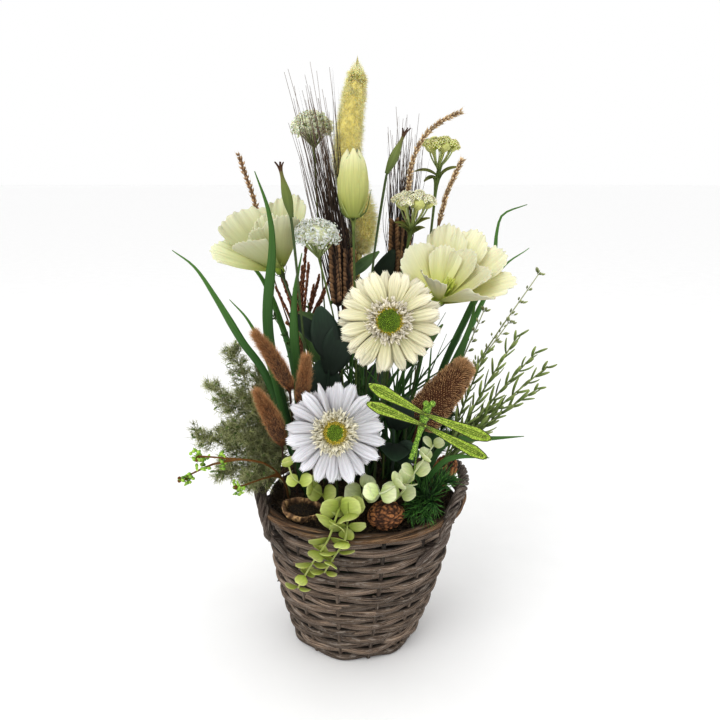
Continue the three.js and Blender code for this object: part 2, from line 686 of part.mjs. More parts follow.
lisianthus("lisianthus_left", V(-77, 12, 410), {
  petals: [
    [V(-124, 42, 474), V(0.45, -0.8, 0.35), 40, 0.2, 0.08, 2.2],
    [V(-146, 6, 440), V(0.3, -0.6, 0.7), 22, 0.2, 0.12, 2.8],
    [V(-112, -26, 446), V(0.35, 0.8, 0.5), 25, 0.2, 0.04, 1],
    [V(-68, -26, 472), V(-0.35, 0.9, 0.25), 21, 0.3, 0.04, 0.8],
    [V(-68, 44, 490), V(-0.2, -0.9, 0.2), 24, 0.25, 0.04, 2.4],
    [V(-98, -4, 458), V(0.2, 0.9, 0.4), 20, 0.4, 0.1, 1.6],
    [V(-92, 24, 470), V(0.1, -0.9, 0.3), 20, 0.4, 0.1, 2.4],
  ],
  root: [-34, 6], via: [V(-40, 8, 270), V(-58, 11, 362)], seed: 22,
});

// A closed bud of three pleated petals on its own stem, with two thin sepals.
const BUD = V(-1, -12, 468);
const budSwell = (t) => 4 + 11.5 * Math.sin(Math.PI * (0.1 + 0.72 * t)) * (1 - 0.25 * t);
const bud = loft(
  evenly(0, 1, 5).map((t) =>
    Array.from({ length: 6 }, (_, j) => {
      const angle = (2 * Math.PI * j) / 6 + t * 0.7;
      const r = budSwell(t) * (j % 2 ? 1.06 : 0.9);
      return BUD.clone().add(V(r * Math.cos(angle), r * Math.sin(angle), 60 * t));
    }),
  ),
);
const budStem = rooted("lisianthus_bud", [0, -2], [V(2, -4, 300), V(0, -10, 420), BUD.clone()], 1.5);
const budSepals = [V(-13, -10, 24), V(17, -10, 28)].map((tip) => {
  const foot = BUD.clone().add(V(0, 0, -4));
  const middle = foot.clone().lerp(foot.clone().add(tip), 0.5).add(V(0, -4, -4));
  return [blade([foot, middle, foot.clone().add(tip)], 1.5, { at: [0.35, 0.75] }), foot];
});
node("lisianthus_bud", BUD_GREEN, [budStem.geometry, bud], budSepals);

// ---- Plume, wheat and dry grasses ---------------------------------------------------------------

const plumeLine = [
  V(3, 32, 428), V(10, 32, 458), V(-6, 32, 512), V(-6, 32, 545), V(-1, 32, 580), V(3, 32, 606),
];
const plumeStem = rooted("plume", [6, 30], [V(8, 36, 300), V(4, 33, 400), V(3, 32, 436)], 1.7);
node("foxtail_plume", STRAW_GOLD, [
  plumeStem.geometry,
  bristled(plumeLine, (t) => 12.4 * Math.sin(Math.PI * (0.12 + 0.72 * t)) ** 0.5,
    { around: 8, rings: 19, lift: 3.2, draw: 4 }),
  needle(V(2, 32, 594), V(3, 32, 624), 2.4),
]);

// A bunch of bearded ears: each a head of overlapping grains with long bristles fanning from it.
function wheatBunch(name, root, neck, ears, { beards, length, fan, seed }) {
  const chance = seeded(seed);
  const stem = rooted(name, root, neck, 2.2);
  const top = neck[neck.length - 1];
  const mains = [stem.geometry];
  const bristles = [];
  for (const [foot, tip] of ears) {
    const way = tip.clone().sub(foot).normalize();
    mains.push(rod([top.clone().add(V(0, 0, -12)), foot.clone().addScaledVector(way, 8)], 1.4, 3, 1));
    mains.push(bristled([foot, tip], (t) => 5 * Math.sin(Math.PI * (0.12 + 0.76 * t)) ** 0.5,
      { around: 6, rings: 9, lift: 2, draw: 4.5 }));
    for (let k = 0; k < beards; k++) {
      const side = V(Math.cos(k * 2.4), Math.sin(k * 2.4), 0);
      const from = foot.clone().lerp(tip, 0.25 + (0.7 * k) / beards).addScaledVector(side, 2);
      const lean = way.clone().add(fan(chance)).normalize();
      const end = from.clone().addScaledVector(lean, length * chance(0.82, 1.04));
      bristles.push([needle(from, end, 0.8), from]);
    }
  }
  node(name, WHEAT_BROWN, mains, bristles, bristles.length);
}

wheatBunch("wheat_left", [-16, 20], [V(-16, 20, 250), V(-14, 18, 345)],
  [[V(-18, 14, 372), V(-20, 12, 446)], [V(-5, 14, 360), V(-5, 14, 432)], [V(-12, 26, 384), V(-13, 28, 452)]],
  { beards: 6, length: 178, fan: (c) => V(c(-0.3, 0.02), c(-0.05, 0.09), 0), seed: 31 });
wheatBunch("wheat_right", [36, 60], [V(38, 70, 270), V(46, 76, 366)],
  [[V(45, 76, 392), V(45, 76, 458)], [V(57, 78, 396), V(58, 78, 456)]],
  { beards: 6, length: 128, fan: (c) => V(c(-0.12, 0.2), c(-0.04, 0.12), 0), seed: 32 });

// A dry grass spike: a thin stalk, and small scales standing up round the rest of its line.
function spike(name, root, stalk, head) {
  const points = stalk.map((p) => V(...p));
  const stem = rooted(name, root, points, 1.1, { sides: 3, steps: 5 });
  const line = [stem.at(0.97), ...head.map((p) => V(...p))];
  const scales = bristled(line, (t) => 2 - 0.6 * t, { around: 4, rings: 13, lift: 1.8, draw: 3 });
  node(name, EAR_BROWN, [stem.geometry, scales]);
}

spike("grass_spike_left", [-48, 42], [[-62, 52, 300], [-93, 68, 400], [-103, 70, 445]],
  [[-111, 66, 486], [-118, 64, 508], [-125, 64, 531]]);
spike("grass_spike_tall", [14, 62], [[34, 64, 330], [54, 62, 440], [58, 62, 486]],
  [[62, 62, 520], [73, 62, 546], [91, 62, 563], [114, 62, 574]]);
spike("grass_spike_short", [62, 50], [[74, 66, 330], [89, 72, 430], [94, 68, 462]],
  [[101, 64, 490], [108, 60, 508], [116, 58, 526]]);

// ---- Umbels, sedum and seed pods ----------------------------------------------------------------

// A domed head on thin rays that meet at the top of the stem.
function umbel(name, at, radius, root, via, seed) {
  const chance = seeded(seed);
  const foot = at.clone().add(V(2, 0, -radius * 1.15));
  const axis = [at.clone().add(V(0, 0, -radius * 0.45)), at.clone().add(V(0, 0, radius * 0.7))];
  const swell = (t) => radius * Math.sin(Math.PI * (0.22 + 0.62 * t)) ** 0.7;
  const dome = bristled(axis, swell, { around: 10, rings: 5, lift: 2, draw: 1.6 });
  const stem = rooted(name, root, [...via, foot], 1.1);
  const rays = Array.from({ length: 4 }, (_, k) => {
    const angle = (Math.PI * k) / 2;
    const r = radius * chance(0.4, 0.6);
    const tip = at.clone().add(V(r * Math.cos(angle), r * Math.sin(angle), 2));
    return [needle(foot, tip, 1.3), foot];
  });
  node(name, FLORET_WHITE, [stem.geometry, rod([foot, at], 1, 3, 1), dome], rays);
}

umbel("umbel_front", V(-37, -22, 450), 19, [-8, -22],
  [V(-8, -24, 250), V(-14, -24, 330), V(-26, -23, 400)], 41);
umbel("umbel_back", V(-45, 62, 557), 18, [-26, 50], [V(-30, 60, 300), V(-40, 64, 450)], 42);

// Small knobbly heads on branches that part from the top of a leafy stem.
function sedum(name, at, radius, root, via, leaves) {
  const neck = at.clone().add(V(-2, 0, -radius * 1.15));
  const stem = rooted(name, root, [...via, neck], 1.5);
  const branches = [];
  for (let k = 0; k < 6; k++) {
    const angle = (2 * Math.PI * k) / 5;
    const r = k === 5 ? 0 : radius * 0.64;
    const end = at.clone().add(V(r * Math.cos(angle), r * Math.sin(angle), k === 5 ? 3 : -1));
    branches.push(needle(neck, end.clone().add(V(0, 0, 3)), 1.6));
    const crown = end.clone().add(V(0, 0, radius * 0.42));
    branches.push(bristled([end.clone().add(V(0, 0, -radius * 0.24)), crown], radius * 0.3,
      { around: 6, rings: 2, lift: 2.2, draw: 2 }));
  }
  const sprouts = leaves.map(([dx, dy, dz, low]) => {
    const from = neck.clone().add(V(0, 0, low));
    const tip = from.clone().add(V(dx, dy, dz));
    const middle = from.clone().lerp(tip, 0.55).add(V(0, 0, 4));
    return [blade([from, middle, tip], 3.6, { thick: 1.1, at: [0.6] }), from];
  });
  node(name, FLORET_GREEN, [stem.geometry, ...branches], sprouts);
}

sedum("sedum_front", V(62, 32, 478), 23, [32, 10], [V(36, 20, 300), V(48, 28, 400)],
  [[-16, -4, 8, 0], [18, -2, 12, 0], [14, 8, 6, -4], [-12, 8, 8, -4]]);
sedum("sedum_back", V(95, 90, 537), 20, [56, 44], [V(70, 66, 330), V(88, 86, 450)],
  [[-24, -2, 4, -6], [-14, -3, -4, -8], [22, -2, 10, -8]]);

// A seed pod swells below a crown of short prongs at the end of its stem.
function seedPod(name, root, points, tipwards) {
  const [foot, top] = points.slice(-2);
  const stem = rooted(name, root, points.slice(0, -1), 1.5);
  const pod = rod([foot, foot.clone().lerp(top, 0.5), top],
    (t) => 1.5 + 2.9 * Math.sin(Math.PI * Math.min(1, 0.05 + t * 1.05)) ** 1.4, 5, 5);
  const prongs = Array.from({ length: 5 }, (_, k) => {
    const angle = (2 * Math.PI * k) / 5;
    const side = V(Math.cos(angle), Math.sin(angle), 0).multiplyScalar(3.6);
    const from = top.clone().addScaledVector(tipwards, -2);
    return [needle(from, top.clone().addScaledVector(tipwards, 8).add(side), 1.1), top];
  });
  node(name, BERRY_GREEN, [stem.geometry, pod], prongs);
}

seedPod("seed_pod_left", [-38, -26],
  [V(-42, -30, 250), V(-50, -44, 340), V(-54, -54, 430), V(-58, -54, 470), V(-67, -54, 512)],
  V(-0.2, 0, 0.98));
seedPod("seed_pod_right", [14, 6],
  [V(12, 2, 300), V(18, -4, 420), V(28, -6, 470), V(32, -6, 510), V(48, -6, 545)],
  V(0.35, 0, 0.93));

// ---- Grass blades, dark leaves and twigs --------------------------------------------------------

// A clump of long grass blades that share one root.
function grassClump(name, root, blades) {
  const [x, y] = root;
  const heart = rooted(name, root, [V(x, y, SOIL + 10)], 3, { sides: 5, steps: 1 });
  const repeats = blades.map(([half, twist, ...points]) => {
    const line = [V(x, y, SOIL + 3), ...points.map((p) => V(...p))];
    const shape = (t) => half * Math.min(1, 0.45 + 2.2 * t) * Math.min(1, 3.2 * (1 - t) + 0.12);
    const look = V(0.15, -1, 0.1);
    return [blade(line, shape, { up: look, fold: 0.22, twist, at: [0.1, 0.3, 0.5, 0.7, 0.88] }), line[0]];
  });
  node(name, GRASS_GREEN, [heart.geometry], repeats, blades.length);
}

grassClump("grass_left", [-56, -8], [
  [5, 0.3, [-76, -46, 300], [-84, -52, 370], [-77, -56, 440], [-79, -58, 476], [-90, -62, 512]],
  [4, -0.5, [-86, -34, 300], [-112, -44, 350], [-133, -56, 395], [-150, -60, 424], [-171, -58, 440]],
  [3.4, 0.4, [-66, 26, 290], [-84, 54, 350], [-110, 66, 404], [-152, 72, 432]],
]);
grassClump("grass_middle", [-50, -30], [
  [4.6, 0.2, [-56, -44, 300], [-59, -48, 360], [-57, -46, 400], [-50, -42, 436]],
  [2.6, 0.3, [-72, -40, 260], [-88, -46, 330], [-104, -56, 372], [-122, -64, 396]],
]);
grassClump("grass_right", [70, -16], [
  [4.6, -0.3, [92, -2, 260], [108, 4, 310], [124, 14, 352], [131, 26, 380]],
  [4.2, 0.4, [90, 20, 280], [126, 44, 360], [152, 56, 410], [156, 56, 450], [162, 54, 468], [186, 50, 478]],
  [3.6, 0.5, [84, 4, 260], [120, 30, 330], [158, 48, 404], [190, 46, 432]],
]);
grassClump("grass_low", [60, -44], [
  [3.4, 0.2, [84, -66, 240], [104, -78, 258], [134, -80, 260], [166, -80, 262]],
  [2.8, -0.2, [82, -74, 226], [100, -84, 242], [132, -86, 242]],
]);

// Broad dark leaves on a short branch.
function leafyBranch(name, root, points, leaves) {
  const stem = rooted(name, root, points.map((p) => V(...p)), 1.5, { steps: 3 });
  const repeats = leaves.map(([share, half, ...tip]) => {
    const from = stem.at(share);
    const end = V(...tip);
    const middle = from.clone().lerp(end, 0.5).add(V(0, 0, 5));
    const shape = (t) => half * Math.sin(Math.PI * Math.min(0.97, 0.1 + 0.86 * t)) ** 0.7;
    const form = { up: V(0.1, -1, 0.35), fold: 0.14, at: [0.22, 0.52, 0.84] };
    return [blade([from, middle, end], shape, form), from];
  });
  node(name, LEAF_DARK, [stem.geometry], repeats, leaves.length - 1);
}

leafyBranch("dark_leaves_left", [-28, -14], [[-30, -26, 270], [-22, -36, 345]],
  [[0.98, 8, -64, -40, 376], [0.9, 14, -34, -44, 384], [0.8, 15, -6, -40, 372],
    [0.62, 16, -34, -30, 326], [0.55, 13, -62, -6, 270]]);
leafyBranch("dark_leaves_right", [38, -46], [[40, -52, 230], [40, -50, 262]],
  [[0.98, 13, 52, -74, 300], [0.8, 14, 40, -80, 236], [0.7, 12, 66, -62, 236]]);
leafyBranch("dark_leaves_back", [10, 70], [[12, 78, 280], [14, 78, 370]],
  [[0.98, 11, 44, 70, 428], [0.95, 12, -14, 84, 404], [0.8, 16, 46, 92, 350], [0.66, 16, -22, 92, 320],
    [0.5, 16, 44, 100, 270], [0.4, 16, -20, 104, 246]]);

// Thin red-brown twigs, bound at the foot.
const twigs = rooted("red_twigs", [-46, 20], [V(-54, 20, 260)], 2.4, { steps: 2 });
const twigTips = [
  [-86, 36, 392], [-58, 30, 398], [-48, 20, 420], [-76, 40, 400], [-50, 30, 454], [-66, 44, 390],
];
node("red_twigs", TWIG_RED, [twigs.geometry], twigTips.map((tip, k) => {
  const from = V(-50, 20, 212 + 4 * k);
  return [rod([from, V(-56 - k, 20 + 2 * k, 320), V(...tip)], (t) => 1.2 - 0.5 * t, 3, 2), from];
}), 4);

// ---- Bunny tails and the bristly cone -----------------------------------------------------------

function bunnyTail(name, root, foot, tip, radius) {
  const stem = rooted(name, root, [foot], 1, { sides: 3, steps: 3 });
  const plump = (t) => radius * Math.sin(Math.PI * (0.12 + 0.86 * t ** 0.8)) ** 0.8;
  const middle = foot.clone().lerp(tip, 0.5).add(V(1, 0, 1));
  const line = [foot.clone().lerp(tip, -0.06), middle, tip];
  const head = bristled(line, plump, { around: 6, rings: 7, lift: 1.8, draw: 3 });
  node(name, TAIL_BROWN, [stem.geometry, head]);
}

bunnyTail("bunny_tail_upper", [-60, -40], V(-62, -72, 310), V(-90, -80, 361), 7.8);
bunnyTail("bunny_tail_middle", [-42, -52], V(-53, -70, 294), V(-46, -72, 335), 6.4);
bunnyTail("bunny_tail_lower", [-74, -40], V(-70, -80, 256), V(-90, -86, 305), 9.2);

const coneFoot = V(69, -32, 262);
const coneTip = V(113, -38, 322);
const coneStem = rooted("bristle_cone", [46, -26], [coneFoot], 2.2, { steps: 4 });
const coneSwell = (t) => (20 - 6.5 * t) * Math.sin(Math.PI * (0.2 + 0.68 * t)) ** 0.42;
node("bristle_cone", CONE_BROWN, [
  coneStem.geometry,
  bristled([coneFoot.clone().lerp(coneTip, -0.05), coneTip], coneSwell,
    { around: 12, rings: 9, lift: 2.4, draw: 1.6 }),
]);

// ---- Dragonfly ----------------------------------------------------------------------------------

// The body rides on a wire pick, and each pair of wings is one film laid across its back.
const flyLine = [V(54, -108, 250), V(60, -107, 270), V(66, -105, 290), V(70, -104, 304)];
const pick = rooted("dragonfly", [50, -60], [V(58, -84, 215), V(62, -92, 266), V(66, -104, 289)], 0.9);
const flyBody = rod(flyLine, (t) => (t < 0.55 ? 2.2 : t < 0.9 ? 4.4 : 3.6), 6, 7);
const eyes = [-3, 3].map((dx) =>
  solid(new THREE.OctahedronGeometry(3, 0), new THREE.Matrix4().makeTranslation(70 + dx, -106, 303)));
node("dragonfly_body", GLITTER_GREEN, [pick.geometry, flyBody, ...eyes]);
function wingPair(name, left, back, right) {
  const span = [left, back, right];
  const waist = (t) => Math.min(1, 0.3 + Math.abs(2 * t - 1) * 1.2);
  const half = (t) => 6.4 * waist(t) * Math.min(1, 5 * Math.min(t, 1 - t) + 0.3);
  const at = [0.06, 0.16, 0.3, 0.44, 0.5, 0.56, 0.7, 0.84, 0.94];
  node(name, GLITTER_GREEN, [blade(span, half, { up: V(0, -1, 0.25), thick: 0.9, at })]);
}
wingPair("dragonfly_forewings", V(14, -118, 326), V(66, -109.9, 295), V(128, -112, 271));
wingPair("dragonfly_hindwings", V(12, -116, 308), V(66, -110.4, 284), V(124, -116, 254));

// ---- Feathery sprays ----------------------------------------------------------------------------

// A spray: fronds that part from one stem. Leaflets stand out on four sides of each frond's rib and
// slant towards its tip; each springs from a broad foot and ends in a point.
function spray(name, root, fork, tips, { spacing, reach, slant, rib, material }) {
  const stem = rooted(name, root, [fork], 1.4, { steps: 3 });
  const fronds = tips.map(([x, y, z]) => {
    const end = V(x, y, z);
    const middle = fork.clone().lerp(end, 0.5).add(V(0, 0, 6));
    const start = fork.clone().lerp(end, -0.02);
    const rings = Math.round(start.distanceTo(end) / spacing);
    const grow = (t) => Math.min(1, Math.max(0.04, 4 * t - 0.9)) * (1.15 - 0.5 * t);
    const shape = { around: 4, rings, lift: (t) => reach * grow(t), draw: (t) => slant * grow(t) };
    return [bristled([start, middle, end], (t) => rib * (1.3 - 0.5 * t), shape), fork];
  });
  node(name, material, [stem.geometry], fronds, fronds.length);
}

spray("feathery_spray", [-72, -14], V(-82, -18, 192),
  [[-124, -26, 336], [-148, -32, 300], [-168, -30, 246], [-100, -14, 306], [-126, 2, 280], [-146, 8, 236],
    [-90, 12, 272], [-122, -52, 262], [-136, -56, 216], [-108, -62, 206]],
  { spacing: 11, reach: 15, slant: 17, rib: 0.9, material: SAGE });
spray("linear_spray", [72, -38], V(92, -42, 214),
  [[166, -30, 352], [188, -20, 332], [195, -40, 322], [194, -16, 292], [148, -16, 270], [134, -26, 332]],
  { spacing: 13, reach: 9, slant: 26, rib: 0.9, material: SAGE });
spray("budded_spray", [78, 6], V(88, 8, 230),
  [[194, 14, 408], [163, 4, 358], [140, 26, 366]],
  { spacing: 13, reach: 6, slant: 9, rib: 0.9, material: SAGE });
spray("pine_tuft", [76, 30], V(86, 32, 192),
  [[124, 14, 240], [112, 42, 244], [130, 36, 222], [96, 62, 232], [112, 64, 210]],
  { spacing: 8, reach: 13, slant: 15, rib: 0.9, material: NEEDLE_GREEN });
spray("green_tuft", [66, -54], V(76, -64, 186),
  [[60, -76, 190], [98, -68, 210], [78, -90, 194], [92, -48, 208], [68, -54, 210], [60, -62, 202]],
  { spacing: 7, reach: 10, slant: 13, rib: 0.9, material: NEEDLE_GREEN });
spray("fern_tuft_back", [-38, 62], V(-42, 66, 194),
  [[-70, 92, 266], [-30, 100, 254], [-88, 68, 246], [-10, 92, 232], [-56, 104, 220]],
  { spacing: 9, reach: 13, slant: 14, rib: 0.9, material: NEEDLE_GREEN });

// ---- Berry twig and eucalyptus ------------------------------------------------------------------

// A knotty twig whose forks end in small berries.
function berryTwig(name, root, points, forks, seed) {
  const chance = seeded(seed);
  const stem = rooted(name, root, points.map((p) => V(...p)), (t) => 1.7 - 0.6 * t, { steps: 6 });
  const parts = [];
  const berries = [];
  for (const [share, ...tip] of forks) {
    const end = V(...tip);
    const from = stem.at(share);
    parts.push(rod([from, end], 1, 3, 1));
    for (let k = 0; k < 3; k++) {
      const at = end.clone().add(V(chance(-8, 3), chance(-5, 5), chance(-8, 6)));
      parts.push(needle(end, at, 0.7));
      berries.push([new THREE.OctahedronGeometry(3, 0).translate(at.x, at.y, at.z), end]);
    }
  }
  node(name, BERRY_GREEN, [stem.geometry, ...parts], berries);
}

berryTwig("berry_twig", [-70, -29], [[-76, -52, 208], [-94, -82, 238], [-130, -90, 240], [-160, -90, 226]],
  [[0.99, -166, -90, 220], [0.66, -148, -100, 250], [0.3, -112, -98, 216]], 71);

// Sprigs of round leaves in opposite pairs, which grow smaller towards the ends.
function eucalyptus(name, root, lines, { pairs, leaf, from = 0.3, seed }) {
  const chance = seeded(seed);
  const mains = [];
  const leaves = [];
  for (const points of lines) {
    const stem = rooted(name, root, points.map((p) => V(...p)), (t) => 1.3 - 0.5 * t, { steps: 6 });
    mains.push(stem.geometry);
    for (let k = 0; k < pairs; k++) {
      const t = from + ((0.985 - from) * k) / (pairs - 1);
      const at = stem.at(t);
      const tangent = stem.way(t);
      const turn = k * 1.57 + chance(-0.3, 0.3);
      const size = leaf * (1.1 - 0.6 * t) * chance(0.9, 1.1);
      for (const side of [-1, 1]) {
        const out = V(Math.cos(turn) * side, Math.sin(turn) * side * 0.6, 0.25);
        out.addScaledVector(tangent, 0.35).normalize();
        const tip = at.clone().addScaledVector(out, size * 1.75);
        const bow = at.clone().lerp(tip, 0.5).addScaledVector(tangent, -1);
        const half = (s) => size * 0.86 * Math.sin(Math.PI * Math.min(0.93, 0.06 + 0.86 * s)) ** 0.65;
        const face = V(0, 0, 0).crossVectors(out, tangent).cross(out);
        leaves.push([blade([at, bow, tip], half, { up: face, at: [0.34, 0.82], fold: 0.1 }), at]);
      }
    }
  }
  node(name, EUCALYPTUS, mains, leaves, pairs);
}

eucalyptus("eucalyptus_trailing", [-10, -70],
  [[[-14, -104, 196], [-24, -126, 176], [-40, -126, 150], [-54, -122, 122]],
    [[-6, -104, 196], [-8, -126, 176], [-18, -128, 160], [-28, -124, 140]]],
  { pairs: 5, leaf: 12, from: 0.45, seed: 82 });
eucalyptus("eucalyptus_left", [-22, -58], [[[-36, -88, 208], [-56, -102, 226], [-62, -102, 240]]],
  { pairs: 3, leaf: 11, from: 0.55, seed: 83 });
eucalyptus("eucalyptus_middle", [8, -58], [[[10, -86, 206], [26, -102, 212], [40, -106, 222]]],
  { pairs: 3, leaf: 14, from: 0.55, seed: 84 });
eucalyptus("eucalyptus_right", [38, -56], [[[48, -84, 205], [60, -94, 232], [76, -98, 260]]],
  { pairs: 4, leaf: 12, from: 0.5, seed: 85 });

// ---- The filling is cut last, by the stems' holes and the seats ---------------------------------

const holes = wasm.Manifold.union(sleeves);
const bed = nodes.find((n) => n.name === "moss_bed");
bed.solid = join([bed.solid.subtract(holes.add(wasm.Manifold.union(seats)))]);
node("floral_foam", FOAM_GREEN, [join([foamBlock().subtract(holes)])]);

// ---- The group ----------------------------------------------------------------------------------

const arrangement = new THREE.Group();
for (const { name, solid: body, material } of nodes) {
  const mesh = body.getMesh();
  const geometry = new THREE.BufferGeometry();
  geometry.setAttribute("position", new THREE.BufferAttribute(new Float32Array(mesh.vertProperties), 3));
  geometry.setIndex(new THREE.BufferAttribute(new Uint32Array(mesh.triVerts), 1));
  geometry.computeVertexNormals();
  const piece = new THREE.Mesh(geometry, material);
  piece.name = name;
  arrangement.add(piece);
}
arrangement.userData = { leftOut };

export default arrangement;
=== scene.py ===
# %% [markdown]
# # A flower arrangement in a willow basket
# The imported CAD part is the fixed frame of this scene: its stems, cores and basket are already where they
# belong. Here each plant gets the fine form and the finish that a solid model can't carry, such as rods that
# really weave, petals with grooves, and thousands of hairs on a plume.

import math

import bpy
import numpy as np
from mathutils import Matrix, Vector, noise


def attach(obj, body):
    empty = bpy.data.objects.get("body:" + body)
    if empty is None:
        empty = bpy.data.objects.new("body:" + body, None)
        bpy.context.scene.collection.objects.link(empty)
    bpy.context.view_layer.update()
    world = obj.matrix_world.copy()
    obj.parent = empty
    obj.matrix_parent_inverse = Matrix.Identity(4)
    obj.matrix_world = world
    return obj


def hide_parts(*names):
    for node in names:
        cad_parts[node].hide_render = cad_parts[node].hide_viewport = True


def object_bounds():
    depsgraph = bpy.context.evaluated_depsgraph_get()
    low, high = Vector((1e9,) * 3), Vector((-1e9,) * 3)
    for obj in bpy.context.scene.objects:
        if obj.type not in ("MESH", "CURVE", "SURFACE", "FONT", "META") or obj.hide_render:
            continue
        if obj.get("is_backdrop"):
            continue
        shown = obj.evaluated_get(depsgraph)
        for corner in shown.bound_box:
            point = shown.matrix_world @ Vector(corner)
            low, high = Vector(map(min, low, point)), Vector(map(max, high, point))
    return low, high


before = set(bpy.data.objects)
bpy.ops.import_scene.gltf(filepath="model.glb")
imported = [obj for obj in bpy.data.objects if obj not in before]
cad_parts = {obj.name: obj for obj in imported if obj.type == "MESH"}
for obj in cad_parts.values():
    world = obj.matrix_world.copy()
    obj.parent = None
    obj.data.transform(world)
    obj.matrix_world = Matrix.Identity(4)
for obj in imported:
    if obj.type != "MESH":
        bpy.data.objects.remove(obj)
cad_box = [list(corner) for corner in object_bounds()]
MM = 0.001
TURN = 2 * math.pi
GOLDEN = math.pi * (3 - math.sqrt(5))
print("nodes", len(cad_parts), "box", [[round(c, 3) for c in corner] for corner in cad_box])

# %% [markdown]
# ## Camera
# The camera stands in front of the basket, a little above the blooms, and looks down by some 15 degrees. A
# focal length in pixels becomes a lens in millimetres by way of the width of the sensor, so the view keeps
# its size whatever the render's resolution is.

# %% Camera
CAMERA_AT = Vector((6, -730, 508)) * MM
LOOKS_DOWN = 14.58  # degrees below the horizon
FOCAL_PIXELS = 708.5
PICTURE_PIXELS = 720
SENSOR = 36.0

lens = bpy.data.cameras.new("camera")
lens.sensor_width = SENSOR
lens.lens = FOCAL_PIXELS * SENSOR / PICTURE_PIXELS
camera = bpy.data.objects.new("camera", lens)
camera.location = CAMERA_AT
camera.rotation_euler = (math.radians(90 - LOOKS_DOWN), 0, 0)
bpy.context.scene.collection.objects.link(camera)
bpy.context.scene.camera = camera
print("lens", round(lens.lens, 2), "mm")

# %% [markdown]
# ## Nodes for materials
# A procedural material is a small graph. One function adds a node, sets its properties and connects its
# inputs, so that each material reads as a list of what it is made of. Colours are written as sRGB hex
# values, as a colour picker gives them, and turned linear once, because shaders work in linear light.

# %% Colour and node helpers
def linear(code):
    """An sRGB hex colour as linear red, green, blue and alpha."""
    parts = [int(code[i:i + 2], 16) / 255 for i in (1, 3, 5)]
    return [p / 12.92 if p <= 0.04045 else ((p + 0.055) / 1.055) ** 2.4 for p in parts] + [1.0]


def add(tree, kind, settings=None, inputs=None):
    """Adds a shader node. An input is a value, the output that feeds it, or a node for its first output."""
    made = tree.nodes.new("ShaderNode" + kind)
    for key, value in (settings or {}).items():
        setattr(made, key, value)
    for key, value in (inputs or {}).items():
        if isinstance(value, bpy.types.Node):
            value = value.outputs[0]
        if isinstance(value, bpy.types.NodeSocket):
            tree.links.new(value, made.inputs[key])
        else:
            made.inputs[key].default_value = value
    return made


def blank(name):
    """A material with an empty graph."""
    material = bpy.data.materials.new(name)
    material.use_nodes = True
    material.node_tree.nodes.clear()
    return material, material.node_tree


def colours(tree, by, stops):
    """Runs through the colours at their places from 0 to 1; `by` says how far."""
    ramp = add(tree, "ValToRGB", inputs={"Fac": by})
    elements = ramp.color_ramp.elements
    for i, (place, code) in enumerate(stops):
        stop = elements[i] if i < 2 else elements.new(place)
        stop.position = place
        stop.color = linear(code)
    return ramp


def streaks(tree, along, across, detail, rough=0.5):
    """Noise on the grain, its scale in mm along and across the strand."""
    grain = add(tree, "Attribute", {"attribute_name": "grain"})
    scaled = add(tree, "VectorMath", {"operation": "MULTIPLY"},
                 {0: grain.outputs["Vector"], 1: (1 / along, 1 / across, 1.0)})
    return add(tree, "TexNoise", inputs={
        "Vector": scaled, "Scale": 1.0, "Detail": detail, "Roughness": rough})


def surface(material, colour, height, strength, deep, values):
    """Closes a material with its colour, a bump `deep` mm deep, and the shader's own values."""
    tree = material.node_tree
    bump = add(tree, "Bump", inputs={"Height": height, "Strength": strength, "Distance": deep * MM})
    shader = add(tree, "BsdfPrincipled", inputs={"Base Color": colour, "Normal": bump, **values})
    add(tree, "OutputMaterial", inputs={"Surface": shader})
    return material


# %% [markdown]
# ## What nearly every dried or silk surface shares
# Each point of a piece made below carries three things: its tone, which differs from hair to hair; its share
# of the way from root to tip; and its place along and across the strand in millimetres, the grain. A finish
# runs through a few colours from root to tip, varies with the tone, and is streaked along the grain or
# mottled in space. That is how plants look up close: no two hairs alike, and veins that follow the form.

# %% The plant finish
PLANT_IOR = 1.45


def finish(name, stops, roughness, spread=0.25, streak=None, mottle=7.0, depth=0.18, relief=0.25,
           sheen=0.0, glow=0.0, rise=None):
    """Colours from root to tip; `streak` is (along, across) in mm on the grain, `mottle` is mm in space.
    A kept node has no share of its own, so its colours run between two heights, `rise`, in mm."""
    material, tree = blank(name)
    space = add(tree, "TexCoord").outputs["Object"]
    if rise:
        height = add(tree, "SeparateXYZ", inputs={0: space})
        share = add(tree, "MapRange", inputs={
            "Value": height.outputs["Z"], "From Min": rise[0] * MM, "From Max": rise[1] * MM})
    else:
        share = add(tree, "Attribute", {"attribute_name": "share"}).outputs["Fac"]
    if streak:
        pattern = streaks(tree, *streak, 3.0)
    else:
        pattern = add(tree, "TexNoise", inputs={"Vector": space, "Scale": 1 / (mottle * MM), "Detail": 4.0})
    tone = add(tree, "Attribute", {"attribute_name": "tone"})
    light = add(tree, "MapRange", inputs={
        "Value": tone.outputs["Fac"], "To Min": 1 - spread, "To Max": 1 + spread})
    patch = add(tree, "MapRange", inputs={
        "Value": pattern, "From Min": 0.3, "From Max": 0.7, "To Min": 1 - depth, "To Max": 1 + depth})
    value = add(tree, "Math", {"operation": "MULTIPLY"}, {0: light, 1: patch})
    colour = add(tree, "HueSaturation", inputs={"Color": colours(tree, share, stops), "Value": value})
    return surface(material, colour, pattern, relief, 0.5, {
        "Roughness": roughness, "IOR": PLANT_IOR, "Sheen Weight": sheen, "Subsurface Weight": glow,
        "Subsurface Scale": 3 * MM})


# %% [markdown]
# ## Gathering a mesh
# A plume has thousands of hairs, and making each as its own object would be slow. Instead all the hairs of
# one piece are worked out together as arrays: a grid of points for each hair, with the same faces repeated
# for every copy. The mesh is then filled in one go.

